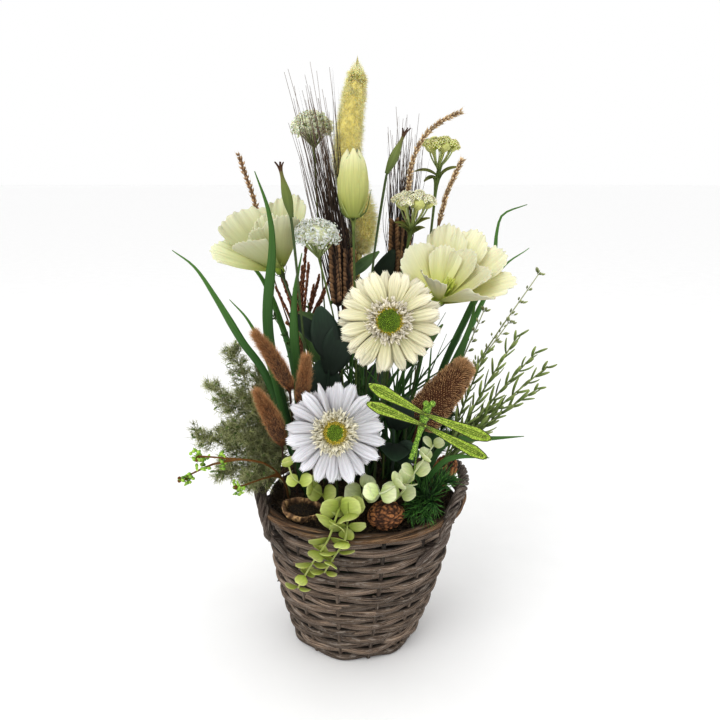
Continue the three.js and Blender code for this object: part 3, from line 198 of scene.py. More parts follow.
# %% The batch
class Batch:
    """Points and faces gathered for one mesh, in millimetres, with tone, share and grain for each point."""

    def __init__(self):
        self.points, self.loops, self.sizes = [], [], []
        self.tones, self.shares, self.grains = [], [], []
        self.count = 0

    def faces(self, pattern, starts):
        """Repeats a pattern of faces, once from each start."""
        made = (pattern[None] + starts[:, None, None]).reshape(-1, pattern.shape[1])
        self.loops.append(made.ravel())
        self.sizes.append(np.full(len(made), made.shape[1]))

    def grids(self, points, tones=0.5, shares=0.5, grain=0.0, wrap=False, ring=False, caps=False):
        """Adds copies of a grid, copies x rows x columns x 3. `wrap` closes its columns, `ring` its rows."""
        copies, rows, columns, _ = points.shape
        index = np.arange(rows * columns).reshape(rows, columns)
        starts = self.count + rows * columns * np.arange(copies)
        if caps:
            self.faces(index[:1, ::-1], starts)
            self.faces(index[-1:], starts)
        if wrap:
            index = np.hstack([index, index[:, :1]])
        if ring:
            index = np.vstack([index, index[:1]])
        corners = [index[:-1, :-1], index[:-1, 1:], index[1:, 1:], index[1:, :-1]]
        self.faces(np.stack(corners, -1).reshape(-1, 4), starts)
        shape = (copies, rows, columns)
        self.points.append(points.reshape(-1, 3))
        self.tones.append(np.broadcast_to(tones, shape).ravel())
        self.shares.append(np.broadcast_to(shares, shape).ravel())
        self.grains.append(np.broadcast_to(grain, shape + (3,)).reshape(-1, 3))
        self.count += copies * rows * columns


def piece(name, batch, material, slot, *nodes, thick=0.0):
    """Turns a batch into a piece that rides on the body and stands for the nodes that are named."""
    mesh = bpy.data.meshes.new(name)
    points, loops, sizes = [np.concatenate(rows) for rows in (batch.points, batch.loops, batch.sizes)]
    mesh.vertices.add(len(points))
    mesh.vertices.foreach_set("co", (points * MM).astype(np.float32).ravel())
    mesh.loops.add(len(loops))
    mesh.loops.foreach_set("vertex_index", loops.astype(np.int32))
    mesh.polygons.add(len(sizes))
    mesh.polygons.foreach_set("loop_start", (np.cumsum(sizes) - sizes).astype(np.int32))
    mesh.polygons.foreach_set("use_smooth", np.ones(len(sizes), bool))
    mesh.update(calc_edges=True)
    for key, kind, field, rows in (("tone", "FLOAT", "value", batch.tones),
                                   ("share", "FLOAT", "value", batch.shares),
                                   ("grain", "FLOAT_VECTOR", "vector", batch.grains)):
        layer = mesh.attributes.new(key, kind, "POINT")
        layer.data.foreach_set(field, np.concatenate(rows).astype(np.float32).ravel())
    mesh.materials.append(material)
    made = bpy.data.objects.new(name, mesh)
    bpy.context.scene.collection.objects.link(made)
    if thick:
        shell = made.modifiers.new("thickness", "SOLIDIFY")
        shell.thickness = thick * MM
        shell.offset = 0
    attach(made, "root")
    if nodes:
        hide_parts(*nodes)
    print(name, len(sizes), "faces")


def dress(material, *nodes, smooth=2):
    """Gives kept CAD nodes their finish, and rounds their few-sided stems with a subdivision surface."""
    for name in nodes:
        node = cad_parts[name]
        node.data.materials.clear()
        node.data.materials.append(material)
        if smooth:
            weld = node.modifiers.new("weld", "WELD")
            weld.merge_threshold = 0.001 * MM
            rounding = node.modifiers.new("round", "SUBSURF")
            rounding.levels = smooth
            rounding.render_levels = smooth


# %% [markdown]
# ## Lines and tubes
# Three forms make up nearly every plant here: tubes, strands and leaves. A tube follows a smooth line and
# makes stems and willow rods. Its ring of points is carried along the line with as little turning as can be,
# because a frame that flips at a bend would twist the bark.

# %% Lines and tubes
def unit(v):
    """Each vector at length 1."""
    return v / np.maximum(np.linalg.norm(v, axis=-1, keepdims=True), 1e-9)


def triples(x, y, z):
    """Three arrays joined into points."""
    return np.stack(np.broadcast_arrays(x, y, z), -1)


def polar(r, angle, z=0.0, x=0.0):
    """Places at a distance and an angle round an upright axis that stands at x."""
    return triples(x + r * np.cos(angle), r * np.sin(angle), z)


def outward(side, other, angle):
    """The way out from a line at an angle, given two directions across it."""
    return side * np.cos(angle)[..., None] + other * np.sin(angle)[..., None]


def run(line):
    """How far along the line each of its places is."""
    return np.concatenate([[0], np.cumsum(np.linalg.norm(np.diff(line, axis=0), axis=1))])


def smooth_line(points, count):
    """Evenly spaced places on a smooth curve through the points."""
    p = np.array(points, float)
    ends = np.vstack([2 * p[0] - p[1], p, 2 * p[-1] - p[-2]])
    t = np.linspace(0, 1, 16, endpoint=False)[:, None]
    spans = []
    for a, b, c, d in zip(ends, ends[1:], ends[2:], ends[3:]):
        spans.append(0.5 * (2 * b + (c - a) * t + (2 * a - 5 * b + 4 * c - d) * t**2
                            + (3 * b - a - 3 * c + d) * t**3))
    fine = np.vstack([*spans, p[-1:]])
    length = run(fine)
    wanted = np.linspace(0, length[-1], count)
    return np.stack([np.interp(wanted, length, fine[:, k]) for k in range(3)], -1)


def bent(a, b, count, aside=0.0):
    """A line from a to b whose middle is pushed aside."""
    a, b = np.array(a, float), np.array(b, float)
    return smooth_line([a, (a + b) / 2 + aside, b], count)


def frames(line):
    """The tangent and two directions across it, for each place on a line, turning as little as it can."""
    tangent = unit(np.gradient(line, axis=0))
    side = np.array([0.0, 1.0, 0.0]) if abs(tangent[0][0]) > 0.8 else np.array([1.0, 0.0, 0.0])
    sides = []
    for way in tangent:
        side = unit(side - way * (side @ way))
        sides.append(side)
    sides = np.array(sides)
    return tangent, sides, np.cross(tangent, sides)


def tube(batch, line, radius, sides=6, tone=0.5, seed=0.0):
    """A tube along a line. Its radius is one value, a value for each place, or a pair for its two ends."""
    line = np.asarray(line, float)
    _, side, other = frames(line)
    angle = np.arange(sides) * TURN / sides
    ends = isinstance(radius, tuple)
    wide = np.linspace(*radius, len(line)) if ends else np.broadcast_to(radius, len(line))
    ring = line[:, None] + wide[:, None, None] * outward(side[:, None], other[:, None], angle)
    along = run(line)[:, None]
    grain = triples(along, 2 * wide[:, None] * np.cos(angle), seed)
    batch.grids(ring[None], tone, along / along[-1], grain[None], wrap=True, caps=True)


# %% [markdown]
# ## Strands
# A strand is a thin cone or spindle from root to tip. Thousands at once make hairs, awns, grains, buds and
# needles. A profile says how thick it is on the way: a hair tapers, an awn hardly does, and a grain is widest
# in the middle.

# %% Strands
def oval(start, span, power=1.0):
    """An outline that is a stretch of a sine's hump, from `start` over `span` of it."""
    return lambda t: np.sin(np.pi * (start + span * t)) ** power


def taper(loss):
    """An outline that loses this much of its width on the way to its tip."""
    return lambda t: 1 - loss * t


HAIR = taper(0.92)
GRAIN = oval(0.06, 0.9, 0.7)


def sides_of(way):
    """Two directions across each way."""
    helper = np.where(np.abs(way[:, 2:]) < 0.9, [[0.0, 0.0, 1.0]], [[1.0, 0.0, 0.0]])
    side = unit(np.cross(way, helper))
    return side, np.cross(way, side)


def strands(batch, roots, tips, radius, tones, profile=HAIR, sides=3, steps=2, bow=0.0, shares=(0, 1)):
    """Thin strands from roots to tips, all at once. `bow` pushes the middle of each one aside."""
    t = np.linspace(0, 1, steps + 1)
    span = tips - roots
    bow = np.broadcast_to(bow, span.shape)
    centre = roots[:, None] + span[:, None] * t[:, None] + bow[:, None] * (4 * t * (1 - t))[:, None]
    side, other = sides_of(unit(span))
    ring = outward(side[:, None], other[:, None], np.arange(sides) * TURN / sides)
    r = np.broadcast_to(radius, len(roots))[:, None] * profile(t)
    points = centre[:, :, None] + r[..., None, None] * ring[:, None]
    share = (shares[0] + (shares[1] - shares[0]) * t)[:, None]
    batch.grids(points, np.broadcast_to(tones, len(roots))[:, None, None], share, wrap=True, caps=True)


def around(line, t, angle):
    """Places at shares t of a line, the way along it there, and the way outward at an angle round it."""
    at = t * (len(line) - 1)
    centre, way, side, other = [
        np.stack([np.interp(at, np.arange(len(line)), values[:, k]) for k in range(3)], -1)
        for values in (line, *frames(line))]
    return centre, unit(way), unit(outward(side, other, angle))


def fur(batch, line, swell, count, length, lean, radius, rng, scatter=0.2, span=(0, 1), curl=0.0, tuft=1):
    """Hairs all round a line, `tuft` from each root: `lean` 0 stands straight out, 1 lies along the line."""
    t = np.repeat(rng.uniform(*span, count // tuft), tuft)
    centre, way, out = around(line, t, np.repeat(rng.uniform(0, TURN, count // tuft), tuft))
    towards = unit(out * (1 - lean) + way * lean + rng.normal(0, scatter, (len(t), 3)))
    roots = centre + out * (swell(t) * 0.75)[:, None]
    reach = (length(t) * rng.uniform(0.7, 1.15, len(t)))[:, None]
    tones = np.repeat(rng.random(count // tuft), tuft)
    strands(batch, roots, roots + towards * reach, radius, tones, bow=(way * curl - out * curl) * reach)


# %% [markdown]
# ## Leaves and petals
# A leaf is a grid of points, narrow at both ends, bowed along its length and cupped across. A solidify
# modifier later gives it the thickness of cloth. Many leaves are made in one call, each with its own root,
# tip, face and width, since a loop over objects would be slow for thousands of florets.

# %% Leaves and petals
def leaves(batch, roots, tips, faces, halves, outline, tones, rows=7, columns=5, cup=0.2, bow=0.0,
           groove=0.0, curl=0.0, teeth=0.0):
    """Leaves from roots to tips, all at once. `faces` is the way each looks, `cup` lifts its edges."""
    roots, tips, faces = np.atleast_2d(roots), np.atleast_2d(tips), np.atleast_2d(faces)
    t = np.linspace(0, 1, rows)
    u = np.linspace(-1, 1, columns)
    span = tips - roots
    way = unit(span)
    side = unit(np.cross(way, faces))
    up = np.cross(side, way)
    length = np.linalg.norm(span, axis=1)[:, None]
    halves, bow, curl, tones = [np.broadcast_to(v, len(roots))[:, None] for v in (halves, bow, curl, tones)]
    half = (halves * outline(t))[:, :, None]
    rise = length * (bow * (4 * t * (1 - t)) + curl * t**2)
    lift = rise[:, :, None] + half * (cup * u**2 + groove * np.cos(3 * np.pi * u) / 6)
    share = t[:, None] * (1 - teeth * (t[:, None] ** 5) * (0.5 + 0.5 * np.cos(3 * np.pi * u)))
    points = (roots[:, None, None] + span[:, None, None] * share[..., None]
              + side[:, None, None] * (half * u)[..., None] + up[:, None, None] * lift[..., None])
    seeds = 7.3 * np.arange(len(roots))[:, None, None]
    batch.grids(points, tones[:, None], t[:, None], triples((length * t)[:, :, None], half * u, seeds))


def facing(towards):
    """A turn that takes +Z to `towards`, as three columns: local x, y and z."""
    turn = Vector((0, 0, 1)).rotation_difference(Vector(towards).normalized())
    return np.array(turn.to_matrix())


class Dice:
    """The part's own dice: the same seed gives the same draws as in its source, so petals match."""

    def __init__(self, seed):
        self.state = seed

    def __call__(self, low, high):
        self.state = (self.state * 1664525 + 1013904223) % 2**32
        return low + (high - low) * self.state / 2**32


SOIL = 176.0  # the height at which a stem leaves the moss


def rooted(x, y, points, count):
    """The line of a stem: up out of the moss at x, y, then through its points."""
    return smooth_line([(x, y, SOIL - 14), (x, y, SOIL), *points], count)


# %% [markdown]
# ## Willow
# The basket is woven from willow rods, soaked until they bend, with the bark left on and then washed over
# with thin white paint that stays in the grain. To the eye that gives a taupe brown rod with pale streaks
# along it, matt, and dark where one rod tucks behind the next: that dark is painted shade. The noise on the
# grain is drawn out nearly forty times along the rod, at a bark line some 0.7 mm wide.

# %% Whitewashed willow
def willow(name, dark, mid, pale, wash, gap_shade=0.0):
    """Bark with streaks along the rod, a thin white wash on part of it, and painted shade between the rods;
    the last argument says how dark it gets.
    """
    material, tree = blank(name)
    bark = streaks(tree, 26, 0.7, 7.0, 0.7)
    patch = streaks(tree, 14, 3, 8.0, 0.72)
    tone = add(tree, "Attribute", {"attribute_name": "tone"})
    light = add(tree, "MapRange", inputs={"Value": tone.outputs["Fac"], "To Min": 0.55, "To Max": 1.4})
    varied = add(tree, "HueSaturation", inputs={
        "Color": colours(tree, bark, [(0.4, dark), (0.5, mid), (0.61, pale)]), "Value": light})
    amount = add(tree, "MapRange", inputs={
        "Value": patch, "From Min": 0.52, "From Max": 0.62, "To Min": 0.0, "To Max": wash})
    washed = add(tree, "Mix", {"data_type": "RGBA"}, {0: amount, 6: varied, 7: linear("#b3aaa0")})
    # Painted shade: the colour darkens where the share runs high. That is at the top and bottom edge of each
    # laid rod, where it meets the next row, and towards the far end of each tube.
    groove = add(tree, "Attribute", {"attribute_name": "share"})
    shade_factor = add(tree, "MapRange", inputs={
        "Value": groove.outputs["Fac"], "From Min": 0.6, "From Max": 1.0, "To Min": 1.0, "To Max": 1 - gap_shade})
    shaded_colour = add(tree, "HueSaturation", inputs={"Color": washed.outputs[2], "Value": shade_factor})
    return surface(material, shaded_colour, bark, 1.0, 0.9, {"Roughness": 0.82, "IOR": PLANT_IOR})


# The last value of each is how dark the painted shade between the rods gets.
WOVEN = willow("washed_willow", "#2a1f18", "#6b5b4e", "#a08d7a", 0.5, 0.85)
BORDER = willow("border_willow", "#24170f", "#6d5036", "#a98963", 0.3, 0.7)
EAR_BARK = willow("ear_willow", "#241d19", "#574a42", "#8c8076", 0.7)

# %% [markdown]
# ## The woven wall
# Fourteen upright stakes stand round the base, and each row passes outside one stake and inside the next,
# against the row below. A cosine with seven waves round the basket does that. A row isn't one rod: three are
# laid in one after another, each from its thick butt to its thin tip, with the ends tucked inside the wall.
# That taper is why a willow wall looks uneven, so each rod here tapers, wanders and has its own bark. A few
# cut ends stick out between the rows.

# %% Wall
BASKET = {"height": 162.0, "foot": 70.0, "mouth": 107.0, "lean": 7.0, "stakes": 14, "rows": 17}
ROD = {"deep": 3.3, "swing": 2.1, "inset": 2.0, "stake": 2.4, "lap": 0.35, "laid": 3, "cut_ends": 26}


def axis_x(z):
    """The basket's axis leans a little to the right on its way up."""
    return BASKET["lean"] * z / BASKET["height"]


def wall_radius(z):
    t = z / BASKET["height"]
    return BASKET["foot"] + (BASKET["mouth"] - BASKET["foot"]) * (t + 0.16 * np.sin(np.pi * t)) - 2


def on_wall(z, angle, out):
    """A place at this height and angle, `out` from the wall."""
    return polar(wall_radius(z) + out, angle, z, axis_x(z))


def wander(turn, rng, waves):
    """A slow unevenness round the basket: a few sine waves with random phases."""
    return sum(size * np.sin(count * turn + rng.uniform(0, TURN)) for count, size in waves)


def rod_round(batch, turn, r, z, high, deep, tone, seed, ring=False):
    """A rod laid round the basket, with its own height and depth from place to place."""
    angle = np.arange(10) * TURN / 10
    r, z, high, deep = [np.broadcast_to(v, len(turn))[:, None] for v in (r, z, high, deep)]
    up = z + high * np.sin(angle)
    points = polar(r + deep * np.cos(angle), turn[:, None], up, axis_x(up))
    grain = triples(95 * turn[:, None], 4 * angle, seed)
    # The share runs from 0 at the middle of the rod's section to 1 at its top and bottom edge, where the
    # willow finish paints shade between the rows.
    batch.grids(points[None], tone, np.abs(np.sin(angle)), grain[None], wrap=True, ring=ring, caps=not ring)


def woven_wall():
    rng = np.random.default_rng(5)
    batch = Batch()
    pitch = BASKET["height"] / BASKET["rows"]
    for row in range(BASKET["rows"]):
        start = rng.uniform(0, TURN)
        phase = rng.uniform(0, TURN)
        for part in range(ROD["laid"]):
            t = np.linspace(0, 1, 96)
            turn = start + TURN / ROD["laid"] * (part + (1 + ROD["lap"]) * t)
            tuck = np.minimum(1, 12 * np.minimum(t, 1 - t))
            slim = 1.1 - 0.24 * t
            high = pitch * 0.48 * slim + wander(turn, rng, ((23, 0.16), (11, 0.2)))
            z = (row + 0.5) * pitch + 0.5 * np.sin(3 * turn + phase) + 0.9 * (t - 0.5) * (-1) ** part
            z = z + wander(turn, rng, ((9, 0.3), (17, 0.2)))
            z = np.clip(z, high + 0.1, BASKET["height"] - high)
            swing = ROD["swing"] * np.cos(BASKET["stakes"] / 2 * turn + math.pi * row)
            r = wall_radius(z) - ROD["inset"] + swing - 3.0 * (1 - tuck) + wander(turn, rng, ((13, 0.3),))
            rod_round(batch, turn, r, z, high, ROD["deep"] * slim, rng.random(), 31.7 * row + 7 * part)
    for k in range(BASKET["stakes"]):
        z = np.linspace(1, BASKET["height"] - 1, 30)
        line = on_wall(z, TURN * k / BASKET["stakes"], -ROD["inset"])
        tube(batch, line, ROD["stake"], 8, rng.uniform(0, 0.4), 9.0 * k)
    for k in range(ROD["cut_ends"]):
        a, z = rng.uniform(0, TURN), rng.uniform(10, 152)
        out = polar(1, a)
        aside = np.array([-out[1], out[0], rng.uniform(-0.4, 0.5)])
        start = on_wall(z, a, 0.5)
        end = start + 2.6 * out + rng.uniform(2, 6) * aside
        tube(batch, bent(start, end, 6, 0.4 * out), (1.3, 0.7), 6, rng.random(), k)
    piece("woven_wall", batch, WOVEN, "willow", "basket_wall")


woven_wall()

# %% [markdown]
# ## Border and base
# The stakes end in a border: three rods laid side by side on the top row, which slowly roll round each other.
# Below, the base is woven on two crossed bundles of sticks, so that the sticks' undersides carry it.

# %% Border and base
RIM = {"radius": 110.0, "apart": 3.6, "rod": 3.1, "height": 167.2, "rolls": 4, "rods": 3}
BASE = {"first": 12, "last": 60, "pitch": 4.6, "stick": 1.5, "reach": 58, "apart": 3.2}


def border():
    rng = np.random.default_rng(6)
    batch = Batch()
    turn = np.linspace(0, TURN, 300, endpoint=False)
    for k in range(RIM["rods"]):
        roll = RIM["rolls"] * turn + TURN * k / RIM["rods"]
        r = RIM["radius"] + RIM["apart"] * np.cos(roll) + wander(turn, rng, ((5, 0.3), (9, 0.25)))
        z = RIM["height"] + 1.9 * np.sin(roll) + wander(turn, rng, ((7, 0.25),))
        rod = RIM["rod"] * (1 + wander(turn, rng, ((3, 0.07), (19, 0.04))))
        tone = rng.uniform(0.1, 0.9, 5)[np.searchsorted(np.sort(rng.uniform(0, TURN, 4)), turn)]
        rod_round(batch, turn, r, z, rod, rod, tone[:, None], 50 * k, ring=True)
    piece("border_rods", batch, BORDER, "willow", "basket_rim")


def woven_base():
    batch = Batch()
    rng = np.random.default_rng(7)
    turn = np.linspace(0, TURN, 96, endpoint=False)
    for k, radius in enumerate(np.arange(BASE["first"], BASE["last"], BASE["pitch"])):
        z = 4.4 + 0.5 * np.cos(2 * turn + math.pi * k)
        rod_round(batch, turn, radius, z, 1.7, 2.2, rng.random(), 17 * k, ring=True)
    for aside in (-BASE["apart"], 0, BASE["apart"]):
        for along, over in (((1, 0, 0), (0, 1, 0)), ((0, 1, 0), (1, 0, 0))):
            middle = np.array(over) * aside + np.array([0, 0, BASE["stick"]])
            far = BASE["reach"] * np.array(along)
            tube(batch, [middle - far, middle, middle + far], BASE["stick"], 8, 0.3 + 0.1 * aside / 3, aside)
    piece("woven_base", batch, WOVEN, "willow", "basket_base")


border()
woven_base()

# %% [markdown]
# ## The ears
# A willow ear handle is a rope: five thin rods are set into the weave, twisted together in an arch over the
# border and set in again on the other side. The strands separate as they dive, which shows on the wall. Each
# strand follows the ear's own line at a small distance from it, turning as it goes.

# %% Ears
EAR = {"reach": 43.0, "rise": 22.0, "strand": 2.35, "wind": 3.8, "turns": 4.2, "turn": -5.0, "rods": 5}


def ear_line(middle):
    share = np.linspace(-1, 1, 9)
    arch = np.clip(np.cos(share * math.pi / 2), 0, 1)
    r = RIM["radius"] + 9.5 - 6.5 * arch**0.5
    z = BASKET["height"] - 12 + (EAR["rise"] + 16) * np.minimum(1, 1.15 * arch**0.6)
    return polar(r, np.radians(middle + EAR["reach"] * share), z, axis_x(BASKET["height"]))


def ear(name, middle, node):
    batch = Batch()
    rng = np.random.default_rng(int(middle) + 400)
    line = smooth_line(ear_line(middle), 120)
    _, side, other = frames(line)
    share = np.linspace(0, 1, len(line))
    spread = EAR["wind"] * np.minimum(1, 0.4 + 5 * np.minimum(share, 1 - share))
    for k in range(EAR["rods"]):
        angle = TURN * (EAR["turns"] * share + k / EAR["rods"]) + 0.25 * np.sin(9 * share + 2 * k)
        strand = line + spread[:, None] * outward(side, other, angle)
        dive = np.radians(middle + np.array([-1, 1]) * (EAR["reach"] - 1 + 2.1 * k))
        feet = on_wall(BASKET["height"] - 20 - 6 * k, dive, -1.5)
        whole = smooth_line([feet[0], *strand[::5], strand[-1], feet[1]], 190)
        thick = EAR["strand"] * (1 + 0.08 * np.sin(np.linspace(0, 40, 190) + k))
        tube(batch, whole, thick, 8, rng.uniform(0.1, 0.8), 20.0 * k)
    piece(name, batch, EAR_BARK, "willow", node)


ear("right_ear_rods", EAR["turn"], "basket_ear_right")
ear("left_ear_rods", 180 + EAR["turn"], "basket_ear_left")

# %% [markdown]
# ## Foam and moss
# Wet floral foam is a fine closed-cell foam, cut to fill the basket, and it stays as the CAD made it. What
# shows is the moss over it: dried brown fibres with some olive in them, teased into a loose mat. The CAD
# mound stays below as a dark ground, and several thousand short curved fibres lie on it in all directions.

# %% Foam and moss
FOAM = finish("phenolic_foam", [(0, "#46583a"), (1, "#5a6d4a")], 0.95, mottle=1.2, relief=0.6)
MOSS = finish("dried_moss", [(0, "#2a2118"), (0.6, "#4a3a28"), (1, "#6a5a38")], 0.95, spread=0.5, mottle=9)
MOSS_TOP = {"x": 6.6, "radius": 99.0, "edge": 165.0, "crown": 171.5, "fibres": 11000}


def moss():
    rng = np.random.default_rng(8)
    batch = Batch()
    count = MOSS_TOP["fibres"]
    share = np.sqrt(rng.random(count))
    mound = MOSS_TOP["edge"] + (MOSS_TOP["crown"] - MOSS_TOP["edge"]) * (1 - share**2)
    angle = rng.uniform(0, TURN, count)
    roots = polar(MOSS_TOP["radius"] * share, angle, mound + rng.uniform(-3, 2.5, count), MOSS_TOP["x"])
    way = unit(triples(rng.normal(0, 1, count), rng.normal(0, 1, count), rng.normal(0.25, 0.35, count)))
    tips = roots + way * rng.uniform(6, 17, (count, 1))
    over = np.hypot(tips[:, 0] - MOSS_TOP["x"], tips[:, 1]) > MOSS_TOP["radius"] + 4
    tips[over] = roots[over] + (tips[over] - roots[over]) * [-1, -1, 1]
    bow = unit(rng.normal(0, 1, (count, 3))) * rng.uniform(0.5, 2.5, (count, 1))
    strands(batch, roots, tips, rng.uniform(0.3, 0.7, count), rng.random(count), steps=3, bow=bow)
    piece("moss_fibres", batch, MOSS, "moss")


dress(FOAM, "floral_foam", smooth=0)
dress(MOSS, "moss_bed", smooth=0)
moss()

# %% [markdown]
# ## Gerberas
# A silk gerbera is cut from dyed polyester cloth and pressed in a hot mould, which leaves two grooves along
# each petal, a notched tip and a soft matt face. Two rows of petals stand behind a frill of short curled
# ones, and the centre is a dome of tiny florets. Sunflower order sets the florets: each turns by the golden
# angle from the last one, so that they fill the dome evenly.

# %% Petal cloth
PRESSED = {"spread": 0.15, "streak": (24, 0.8), "depth": 0.16, "relief": 0.9, "sheen": 0.1, "glow": 0.04}
# Both petal ramps darken towards the hub. This is partly the cloth's own greenish base and partly painted
# shade near the disc.
CREAM = finish("ivory_silk", [(0, "#8f8c5c"), (0.25, "#bfba90"), (0.7, "#d9d3b4"), (1, "#e7e1cb")], 0.66,
               **PRESSED)
WHITE = finish("white_silk", [(0, "#8b897f"), (0.25, "#b0aeae"), (0.7, "#cccace"), (1, "#dddbdf")], 0.64,
               **PRESSED)
FRILL_PINK = finish("blush_silk", [(0, "#a39d78"), (0.5, "#d3ccb2"), (1, "#e8e1d4")], 0.8, spread=0.22)
FRILL_CREAM = finish("cream_frill_silk", [(0, "#a29a62"), (0.5, "#d8d2b8"), (1, "#ebe7d6")], 0.8, spread=0.22)
DISC = finish("gerbera_disc", [(0, "#4f6a1e"), (0.3, "#88a538"), (0.6, "#d3bf3a"), (1, "#e5dcb0")], 0.95,
              spread=0.3)
STEM = finish("wrapped_stem", [(0, "#46582a"), (1, "#63733a")], 0.55, mottle=5, depth=0.15)

# %% Gerberas
UP = np.array([0, 0, 1.0])
FRILL_RINGS = ((84, 0.33, 0.44, 2.8), (84, 0.3, 0.41, 3.8), (76, 0.27, 0.38, 4.8), (70, 0.24, 0.35, 5.8),
               (60, 0.22, 0.32, 6.8))  # petals, where they start and end as shares of the radius, height
FLORETS = 340


def ray_outline(t):
    """Narrow at the hub, broadest at three quarters, and blunt at the tip."""
    return np.clip(0.3 + 0.95 * t**0.75, 0, 1) * np.clip((1.0 - t) * 4.8, 0.2, 1) ** 0.6


def ray_petals(batch, at, turn, radius, petals, gap, narrow, seed, rng):
    """Two rows of petals, the back row in painted shade. `gap` shortens the back row, so that the front
    petals stand apart at their tips.
    """
    dice = Dice(seed)
    for row in range(2):
        level = 1.4 if row else -1.2 - 1.6 * gap
        roots, tips, faces = [], [], []
        for k in range(petals):
            reach = radius * ((0.93 + 0.06 * gap) if row else (1 - 0.1 * gap)) * dice(0.95, 1.02)
            droop = dice(-2.5, 1)
            out = polar(1, TURN * (k + row / 2) / petals + rng.normal(0, 0.045))
            roots.append(turn @ (out * 8 + UP * level))
            tips.append(turn @ (out * reach + UP * (level + 1.6 * droop)))
            faces.append(turn @ unit(UP + 0.3 * rng.normal(0, 1, 3)))
        half = radius * math.sin(math.pi / petals) * narrow * rng.uniform(0.82, 1.08, petals)
        # The back row (row 0) gets the darker tones: painted shade where it lies behind the front row.
        tones = rng.uniform(0.45, 1, petals) if row else rng.uniform(0, 0.35, petals)
        leaves(batch, at + np.array(roots), at + np.array(tips), faces, half, ray_outline, tones, rows=18,
               columns=13, cup=-0.36, groove=1.0, bow=rng.uniform(0.0, 0.12, petals),
               curl=rng.uniform(-0.16, 0.05, petals), teeth=0.06)


def inner_frill(batch, at, turn, radius, rng):
    """Rings of short narrow petals round the dome, each curled its own way."""
    for count, start, reach, lift in FRILL_RINGS:
        out = polar(1, TURN * np.arange(count) / count + rng.uniform(0, 0.15, count))
        roots = at + (out * radius * start + UP * lift * 0.8) @ turn.T
        far = (radius * reach * rng.uniform(0.84, 1.12, count))[:, None]
        tips = at + (out * far + UP * (lift + 3.4 * rng.uniform(0.1, 1.3, (count, 1)))) @ turn.T
        faces = unit(UP + rng.normal(0, 0.9, (count, 3))) @ turn.T
        leaves(batch, roots, tips, faces, radius * rng.uniform(0.014, 0.026, count), oval(0.2, 0.7),
               rng.random(count), rows=5, columns=3, cup=0.4, bow=0.2, curl=rng.uniform(-0.4, 0.9, count))


def floret_dome(batch, at, turn, radius, heart, rng):
    """The dome of florets, green as far as `heart` of its radius, then yellow, then cream."""
    k = np.arange(FLORETS)
    share = np.sqrt((k + 0.5) / FLORETS)
    r = radius * 0.29 * share
    dome = 9.8 - 4.4 * share**2 + 1.4 * np.exp(-((share - heart) / 0.16) ** 2)
    roots = at + polar(r, k * GOLDEN, dome - 3) @ turn.T
    tips = at + polar(r * 1.06, k * GOLDEN, dome - 0.4 + rng.uniform(0, 1.3, FLORETS)) @ turn.T
    for band, ends in ((share < heart, (0, 0.32)), ((share >= heart) & (share < heart + 0.2), (0.3, 0.7)),
                       (share >= heart + 0.2, (0.5, 1))):
        strands(batch, roots[band], tips[band], 0.85, rng.random(band.sum()), profile=GRAIN, sides=5, steps=3,
                shares=ends)


def gerbera(name, at, towards, radius, petals, seed, cloth, frill, gap, heart, slot, node):
    rng = np.random.default_rng(seed)
    turn = facing(towards)
    rays, curls, dome = Batch(), Batch(), Batch()
    ray_petals(rays, at, turn, radius, petals, gap, 0.8, seed, rng)
    inner_frill(curls, at, turn, radius, rng)
    floret_dome(dome, at, turn, radius, heart, rng)
    piece(name + "_ray_petals", rays, cloth, slot, node + "_petals", thick=0.3)
    piece(name + "_inner_frill", curls, frill, slot, thick=0.3)
    piece(name + "_floret_dome", dome, DISC, "floret_disc", node + "_disc")


gerbera("cream", (34, -62, 373), (-0.04, -0.97, 0.2), 53, 20, 3, CREAM, FRILL_PINK, 0.3, 0.68, "petal_cream",
        "gerbera_cream")
gerbera("white", (-18, -92, 270), (0.04, -0.94, 0.34), 51, 18, 4, WHITE, FRILL_CREAM, 1.0, 0.5, "petal_white",
        "gerbera_white")
dress(STEM, "gerbera_cream_stem", "gerbera_white_stem", "lisianthus_right_stem", "lisianthus_left_stem")

# %% [markdown]
# ## Lisianthus
# The two big blooms are silk lisianthus: five broad petals round a cup, lapped over each other, and smaller
# ones inside. The cloth's edge is drawn with a hot iron, so it is longer than the petal is wide and falls in
# ruffles. The ruffle is a wave that grows towards the edge. It is set on the same form as in the solid part,
# with many more points, so the bloom keeps its place and its size.

# %% Lisianthus
RUFFLED = {"spread": 0.1, "streak": (30, 1.0), "depth": 0.05, "relief": 0.3, "sheen": 0.1, "glow": 0.06}
BLOOM = finish("lisianthus_silk", [
    (0, "#7f8f2e"), (0.13, "#b4bd50"), (0.38, "#d5d68c"), (0.7, "#dddbb0"), (1, "#e4e2c8")], 0.66, **RUFFLED)
BLOOM_GREEN = finish("green_lisianthus_silk", [
    (0, "#6f8030"), (0.15, "#9aa650"), (0.42, "#bcc188"), (0.75, "#cdd0a4"), (1, "#dedfc2")], 0.66, **RUFFLED)
LIME_FLORET = finish("lime_floret", [(0, "#6f8a2c"), (0.6, "#a3b548"), (1, "#c9cf6a")], 0.75)
STAMENS = 30


